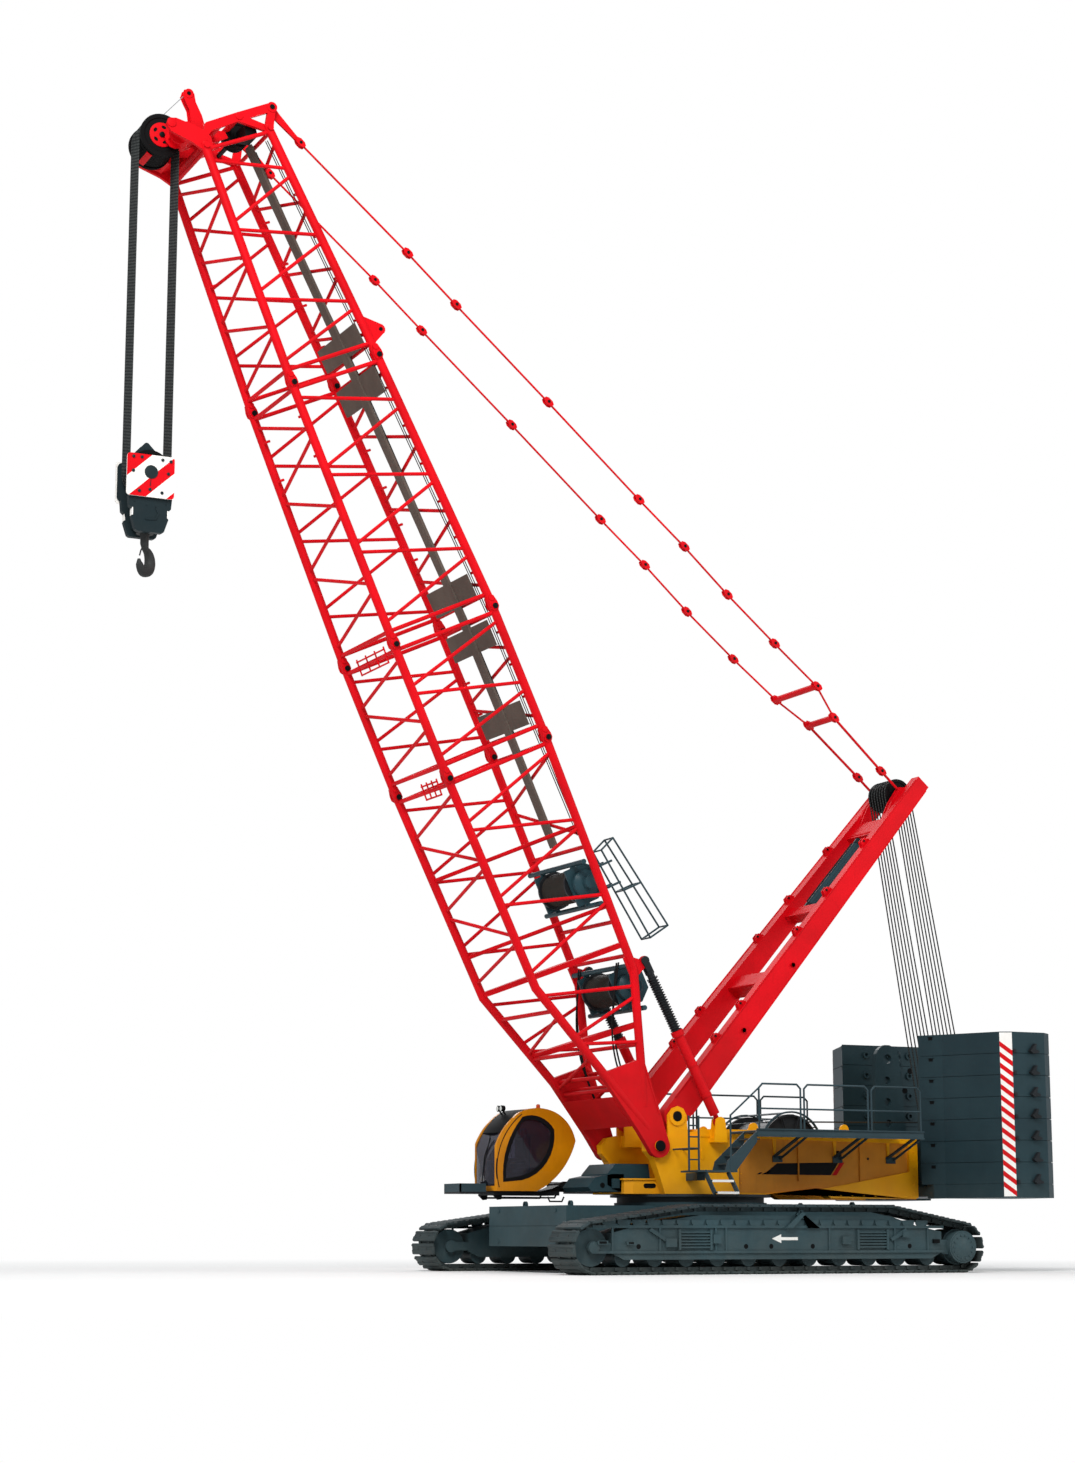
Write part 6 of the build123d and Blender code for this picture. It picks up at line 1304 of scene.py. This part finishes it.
def up_backstop(*places):
    """Points on the left backstop's axis, at these distances from its foot pin."""
    return upright(*(BACKSTOP_FOOT + STROKE * np.array(places)[:, None]).T)


t = np.linspace(0.0, 1.0, 420)
a = 2 * pi * COIL_TURNS * t[:, None]
line = up_backstop(*(COIL_FROM + (COIL_TO - COIL_FROM) * t))
line += COIL_RADIUS * (np.cos(a) * np.cross(STROKE, (0.0, 1.0, 0.0)) + np.sin(a) * np.array((0.0, 1.0, 0.0)))
coil, ends = [tube(line, 0.018, 7)], up_backstop(COIL_FROM, COIL_TO)
for name, groups, side in (("left", coil, 1), ("right", mirrored(coil), -1)):
    piece = build(f"backstop_spring_{name}", groups, black_paint, None, "dark_steel")
    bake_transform(piece)
collars = [tube(up_backstop(at, at + length), radius, 24)
           for at, length, radius in ((2.08, 0.11, 0.14), (0.62, 0.06, 0.125), (1.35, 0.05, 0.122))]
build("backstop_tube_collars", collars + mirrored(collars), signal_red, "backstop_tubes", "red_paint")
collars = [tube(up_backstop(COIL_TO + 0.01, COIL_TO + 0.04), 0.125, 24)]
build("backstop_rod_collars", collars + mirrored(collars), black_paint, "backstop_rods", "dark_steel")


# ---- Ropes ----
# Six-strand steel wire rope in a film of dark grease; slanted bands in the material give its lay as bump. It
# runs in closed loops round the sheaves of the hoist tackle and the luffing tackle, and in two leads.

strands, tree, out = material("laid_wire_rope")
place = add(tree, "TexCoord")
lay_bands = add(tree, "TexWave", {"Vector": place.outputs["Object"], "Scale": 9.0, "Distortion": 0.6,
                                  "Detail": 1.0}, wave_type="BANDS", bands_direction="DIAGONAL")
tone = add(tree, "ValToRGB", {"Fac": lay_bands.outputs["Fac"]})
tone.color_ramp.elements[0].color, tone.color_ramp.elements[1].color = linear("1B1E1F"), linear("3A3D3C")
shift = add(tree, "Bump", {"Height": lay_bands.outputs["Fac"], "Strength": 0.5, "Distance": 0.004})
skin = add(tree, "BsdfPrincipled", {"Base Color": tone.outputs["Color"], "Roughness": 0.6,
                                    "Specular IOR Level": 0.1, "Normal": shift.outputs[0]})
tree.links.new(skin.outputs["BSDF"], out.inputs["Surface"])
ROPE_RADIUS = 0.016


def falls(top, low, top_radius, low_radius, top_y, low_y):
    """Rope loops round two sheaves: down one tangent, under the lower sheave, up the other and over the
    upper. Along a fall the radius and y change linearly from the upper sheave's to the lower one's."""
    top, low = np.array(top), np.array(low)
    ahead = (low - top) / np.hypot(*(low - top))
    square = np.array((ahead[1], -ahead[0]))
    share, spin = np.linspace(0, 1, 26), np.linspace(0, pi, 14)[1:-1]
    paths = []
    for y0, y1 in zip(top_y, low_y):
        run = [(top + (low - top) * k + square * side * (top_radius + (low_radius - top_radius) * k),
                y0 + (y1 - y0) * k) for side, ks in ((1, share), (-1, share[::-1])) for k in ks]
        under = [(low + low_radius * (square * cos(b) + ahead * sin(b)), y1) for b in spin]
        over = [(top - top_radius * (square * cos(b) + ahead * sin(b)), y0) for b in spin]
        flat = run[:26] + under + run[26:] + over
        line = np.array([(*at, y) for at, y in flat])
        paths.append(tube(upright(line[:, 0], line[:, 2], line[:, 1]), ROPE_RADIUS, 7))
    return paths


BLOCK_AT = middle_of("hook_block_sheaves")
reach = HEAD_RADIUS + ROPE_RADIUS
piece = build("hoist_falls", falls(HEAD_AT, BLOCK_AT, reach, reach, FALLS, FALLS), strands, None, "wire_rope",
              "hoist_ropes")
x = HEAD_AT[0] + FOOT_PIN[0]
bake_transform(piece)
piece = build("luffing_falls", falls(MAST_HEAD, LOWER_AT, MAST_RADIUS + ROPE_RADIUS,
                                     LOWER_RADIUS + ROPE_RADIUS, MAST_ROW, LOWER_ROW), strands, None,
              "wire_rope", "luffing_ropes_upper", "luffing_ropes_lower")
way = (np.array(LOWER_AT) - MAST_HEAD) / np.hypot(*(np.array(LOWER_AT) - MAST_HEAD))
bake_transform(piece)
lead = [tube(upright([LOWER_AT[0] + 0.376, -3.3], [way * 0.08, way * 0.2], [LOWER_AT[1], 3.285]), 0.013, 6)
        for way in (1, -1)]
build("luffing_lead_ropes", lead, strands, "superstructure", "wire_rope")


# ---- Hook block and hook ----
# Cast cheeks and a tapered slate body hold the sheaves and the hook's swivel. Rounded weight plates with
# warning stripes are bolted outside, and the forged hook hangs from a nut in the body.

build("hook_block_grooved_sheaves", grooved(BLOCK_AT, HEAD_RADIUS, FALLS, 0.08, 0.14, 0.325), pin_black,
      "hook_block", "dark_steel", "hook_block_sheaves")
block_slate = paint("slate_hook_block_paint", "15272D", "0F1F24", "3C3D3A", roughness=0.45, coat=0.05,
                    chips=0.04, low=5.0, high=30.0)


def on_block(u, v, w):
    """Lies upright through the block: u along x and v up from the sheave axle, w across."""
    return upright(np.asarray(u, float) + BLOCK_AT[0], w, np.asarray(v, float) + BLOCK_AT[1])


def rounded(u0, u1, v0, v1, radius, steps=5):
    """Rectangle with quarter-circle corners, anticlockwise."""
    points = []
    for cu, cv, first in ((u1 - radius, v1 - radius, 0.0), (u0 + radius, v1 - radius, 0.5),
                          (u0 + radius, v0 + radius, 1.0), (u1 - radius, v0 + radius, 1.5)):
        b = pi * (first + np.linspace(0.0, 0.5, steps))
        points += np.stack([cu + radius * np.cos(b), cv + radius * np.sin(b)], axis=1).tolist()
    return np.array(points)


# Cheeks, the becket's two plates, the body's walls and core, and the swivel's seat. The taper is given by its
# front edge from the top down, and its rear edge mirrors it.
body = [slab(rounded(-0.46, 0.52, -0.56, 0.28, 0.10), y, y + 0.04, on_block) for y in (0.335, -0.375)]
becket = bent(((-0.20, 0.20), (-0.18, 0.42)), ((-0.18, 0.42), (0.02, 0.62)), ((0.02, 0.62), (0.06, 0.635),
                                                                              (0.10, 0.62)),
              ((0.10, 0.62), (0.28, 0.42)), ((0.28, 0.42), (0.30, 0.20)), ((0.30, 0.20), (-0.20, 0.20)),
              steps=4)
body += [slab(becket, y, y + 0.04, on_block) for y in (0.13, -0.17)]
front = ((-0.47, -0.58), (-0.45, -0.80), (-0.39, -0.86), (-0.37, -0.98), (-0.40, -1.03), (-0.31, -1.30),
         (-0.26, -1.33))
taper = (*front, *((-u, v) for u, v in front[::-1]))
body += [slab(taper, 0.20, 0.335, on_block), slab(taper, -0.335, -0.20, on_block)]
body.append(slab(((-0.34, -0.62), (-0.24, -1.18), (0.24, -1.18), (0.34, -0.62)), -0.20, 0.20, on_block))
body.append(turned(((0.20, -1.18), (0.20, -1.10), (0.12, -1.08)), (BLOCK_AT[0], 0.0, BLOCK_AT[1]), flat_on,
                   24))
# Raised rib and four studs on either wall.
for sign in (-1, 1):
    body.append(slab(((-0.13, -0.80), (-0.20, -0.92), (-0.13, -1.06), (0.10, -1.08), (0.10, -1.05),
                      (-0.11, -1.03), (-0.165, -0.92), (-0.105, -0.82)), sign * 0.335, sign * 0.352,
                     on_block))
    body.append(turned(((0.012, sign * 0.335), (0.012, sign * 0.35)),
                       ((0.08, -0.76), (-0.12, -0.78), (0.34, -0.70), (-0.34, -0.70)), on_block, 8))
build("hook_block_body", body, block_slate, "hook_block", "dark_steel", "hook_block")

# Weight plates: their outer face is PLATE_OUT from the block's middle.
PLATE_BOX, PLATE_OUT = rounded(-0.485, 0.545, -0.60, 0.31, 0.07), 0.405
plates = [slab(PLATE_BOX, 0.375, PLATE_OUT, on_block)]


def clipped(outline, c0, c1, slope):
    """The part of a convex outline between v - slope u = c0 and c1: corners outside are cut away."""
    for c, keep in ((c0, 1), (c1, -1)):
        value = keep * (outline[:, 1] - slope * outline[:, 0] - c)
        after, ahead = np.roll(outline, -1, axis=0), np.roll(value, -1)
        cut = []
        for p, q, a, b in zip(outline, after, value, ahead):
            if a >= 0:
                cut.append(p)
            if a * b < 0:
                cut.append(p + (q - p) * a / (a - b))
        outline = np.array(cut)
    return outline


bands = [slab(clipped(PLATE_BOX, c0, c1, -0.93), PLATE_OUT, PLATE_OUT + 0.003, on_block)
         for c0, c1 in ((-2.0, -0.895), (-0.481, -0.14), (0.317, 2.0))]
# Nine bolts, the axle's cover, a grease pipe below it and the becket's pin.
heads = ((0.41, 0.235), (0.23, 0.24), (-0.22, 0.225), (-0.40, 0.21), (0.41, -0.07), (-0.35, -0.06),
         (0.27, -0.49), (0.04, -0.44), (-0.22, -0.485))
dots = [turned(((0.034, 0.40), (0.034, 0.425), (0.022, 0.432)), heads, on_block, 14),
        turned(((0.145, 0.40), (0.145, 0.418), (0.135, 0.424)), (0.02, -0.06), on_block, 32),
        tube(on_block([0.02, 0.03, 0.035], [-0.19, -0.28, -0.36], 0.412), 0.008, 6),
        turned(((0.045, 0.165), (0.045, 0.178)), (0.06, 0.50), on_block, 14)]
build("hook_block_weight_plates", plates + mirrored(plates), white_tape, "hook_block", "slate_paint")
build("hook_block_warning_bands", bands + mirrored(bands), signal_red, "hook_block", "red_paint")
build("hook_block_bolts", dots + mirrored(dots), block_slate, "hook_block", "dark_steel")
marks = [blocks([((BLOCK_AT[0] + u0, BLOCK_AT[0] + u1), (y, y + 0.14),
                  (BLOCK_AT[1] - 1.0, BLOCK_AT[1] - 0.84)) for u0, u1 in ((0.37, 0.393), (-0.393, -0.37))
                 for y in (0.2, -0.34)])]
build("hook_block_edge_marks", marks, white_tape, "hook_block", "slate_paint")

# Forged hook: rounded square sections along a shank and an arc of 258 degrees, swelling at the bowl's foot.
forged = paint("forged_hook_steel", "2A2E30", "1F2325", "5C5852", roughness=0.45, coat=0.0, chips=0.05,
               low=5.0, high=30.0)
# swell runs 0 to 1 to 0 round the arc, and tip halves both half widths over the last tenth of it.
share = np.linspace(0.0, 1.0, 40)
angle, swell = np.radians(92 + 258 * share), np.sin(pi * share)
tip = np.where(share > 0.9, 1 - 0.5 * (share - 0.9) / 0.1, 1.0)
depth, wide = (0.09 + 0.13 * swell) / 2, (0.06 + 0.055 * np.sin(pi * np.clip(share * 1.05, 0, 1))) * tip
middle = np.array((0.01, -1.84)) + (0.17 + depth)[:, None] * np.stack([np.cos(angle), np.sin(angle)], axis=1)
path = np.concatenate([[(0.0, -1.19), (0.0, -1.30), (0.0, -1.40), (0.0, -1.50)], middle[2:]])
shank = [0.10, 0.10, 0.085, 0.085]
half_in, half_out = (np.concatenate([shank, half[2:]])[:, None] for half in (depth * tip, wide))
run = np.gradient(path, axis=0)
normal = np.stack([run[:, 1], -run[:, 0]], axis=1) / np.linalg.norm(run, axis=1, keepdims=True)
a = np.arange(16) * pi / 8
square = [np.sign(wave) * np.abs(wave) ** 0.75 for wave in (np.cos(a), np.sin(a))]
flat = path[:, None] + normal[:, None] * (half_in * square[0])[..., None]


def on_hook(u, v, w):
    """Layout in the hook's plane, turned 45 degrees about the upright axis: u along it, v up, w out."""
    u, w, turn = np.asarray(u, float), np.asarray(w, float), radians(45)
    return upright(BLOCK_AT[0] + u * cos(turn) - w * sin(turn), u * sin(turn) + w * cos(turn),
                   BLOCK_AT[1] + v)


horn = on_hook(flat[..., 0], flat[..., 1], half_out * square[1])
nut = turned(((0.18, -1.30), (0.18, -1.185), (0.15, -1.18)), (BLOCK_AT[0], 0.0, BLOCK_AT[1]), flat_on, 24)
latch = tube(on_hook([0.08, 0.15, 0.20], np.array([-1.60, -1.68, -1.80]), 0.0), 0.016)
build("forged_hook", [horn, nut, latch], forged, "hook", "dark_steel", "hook")
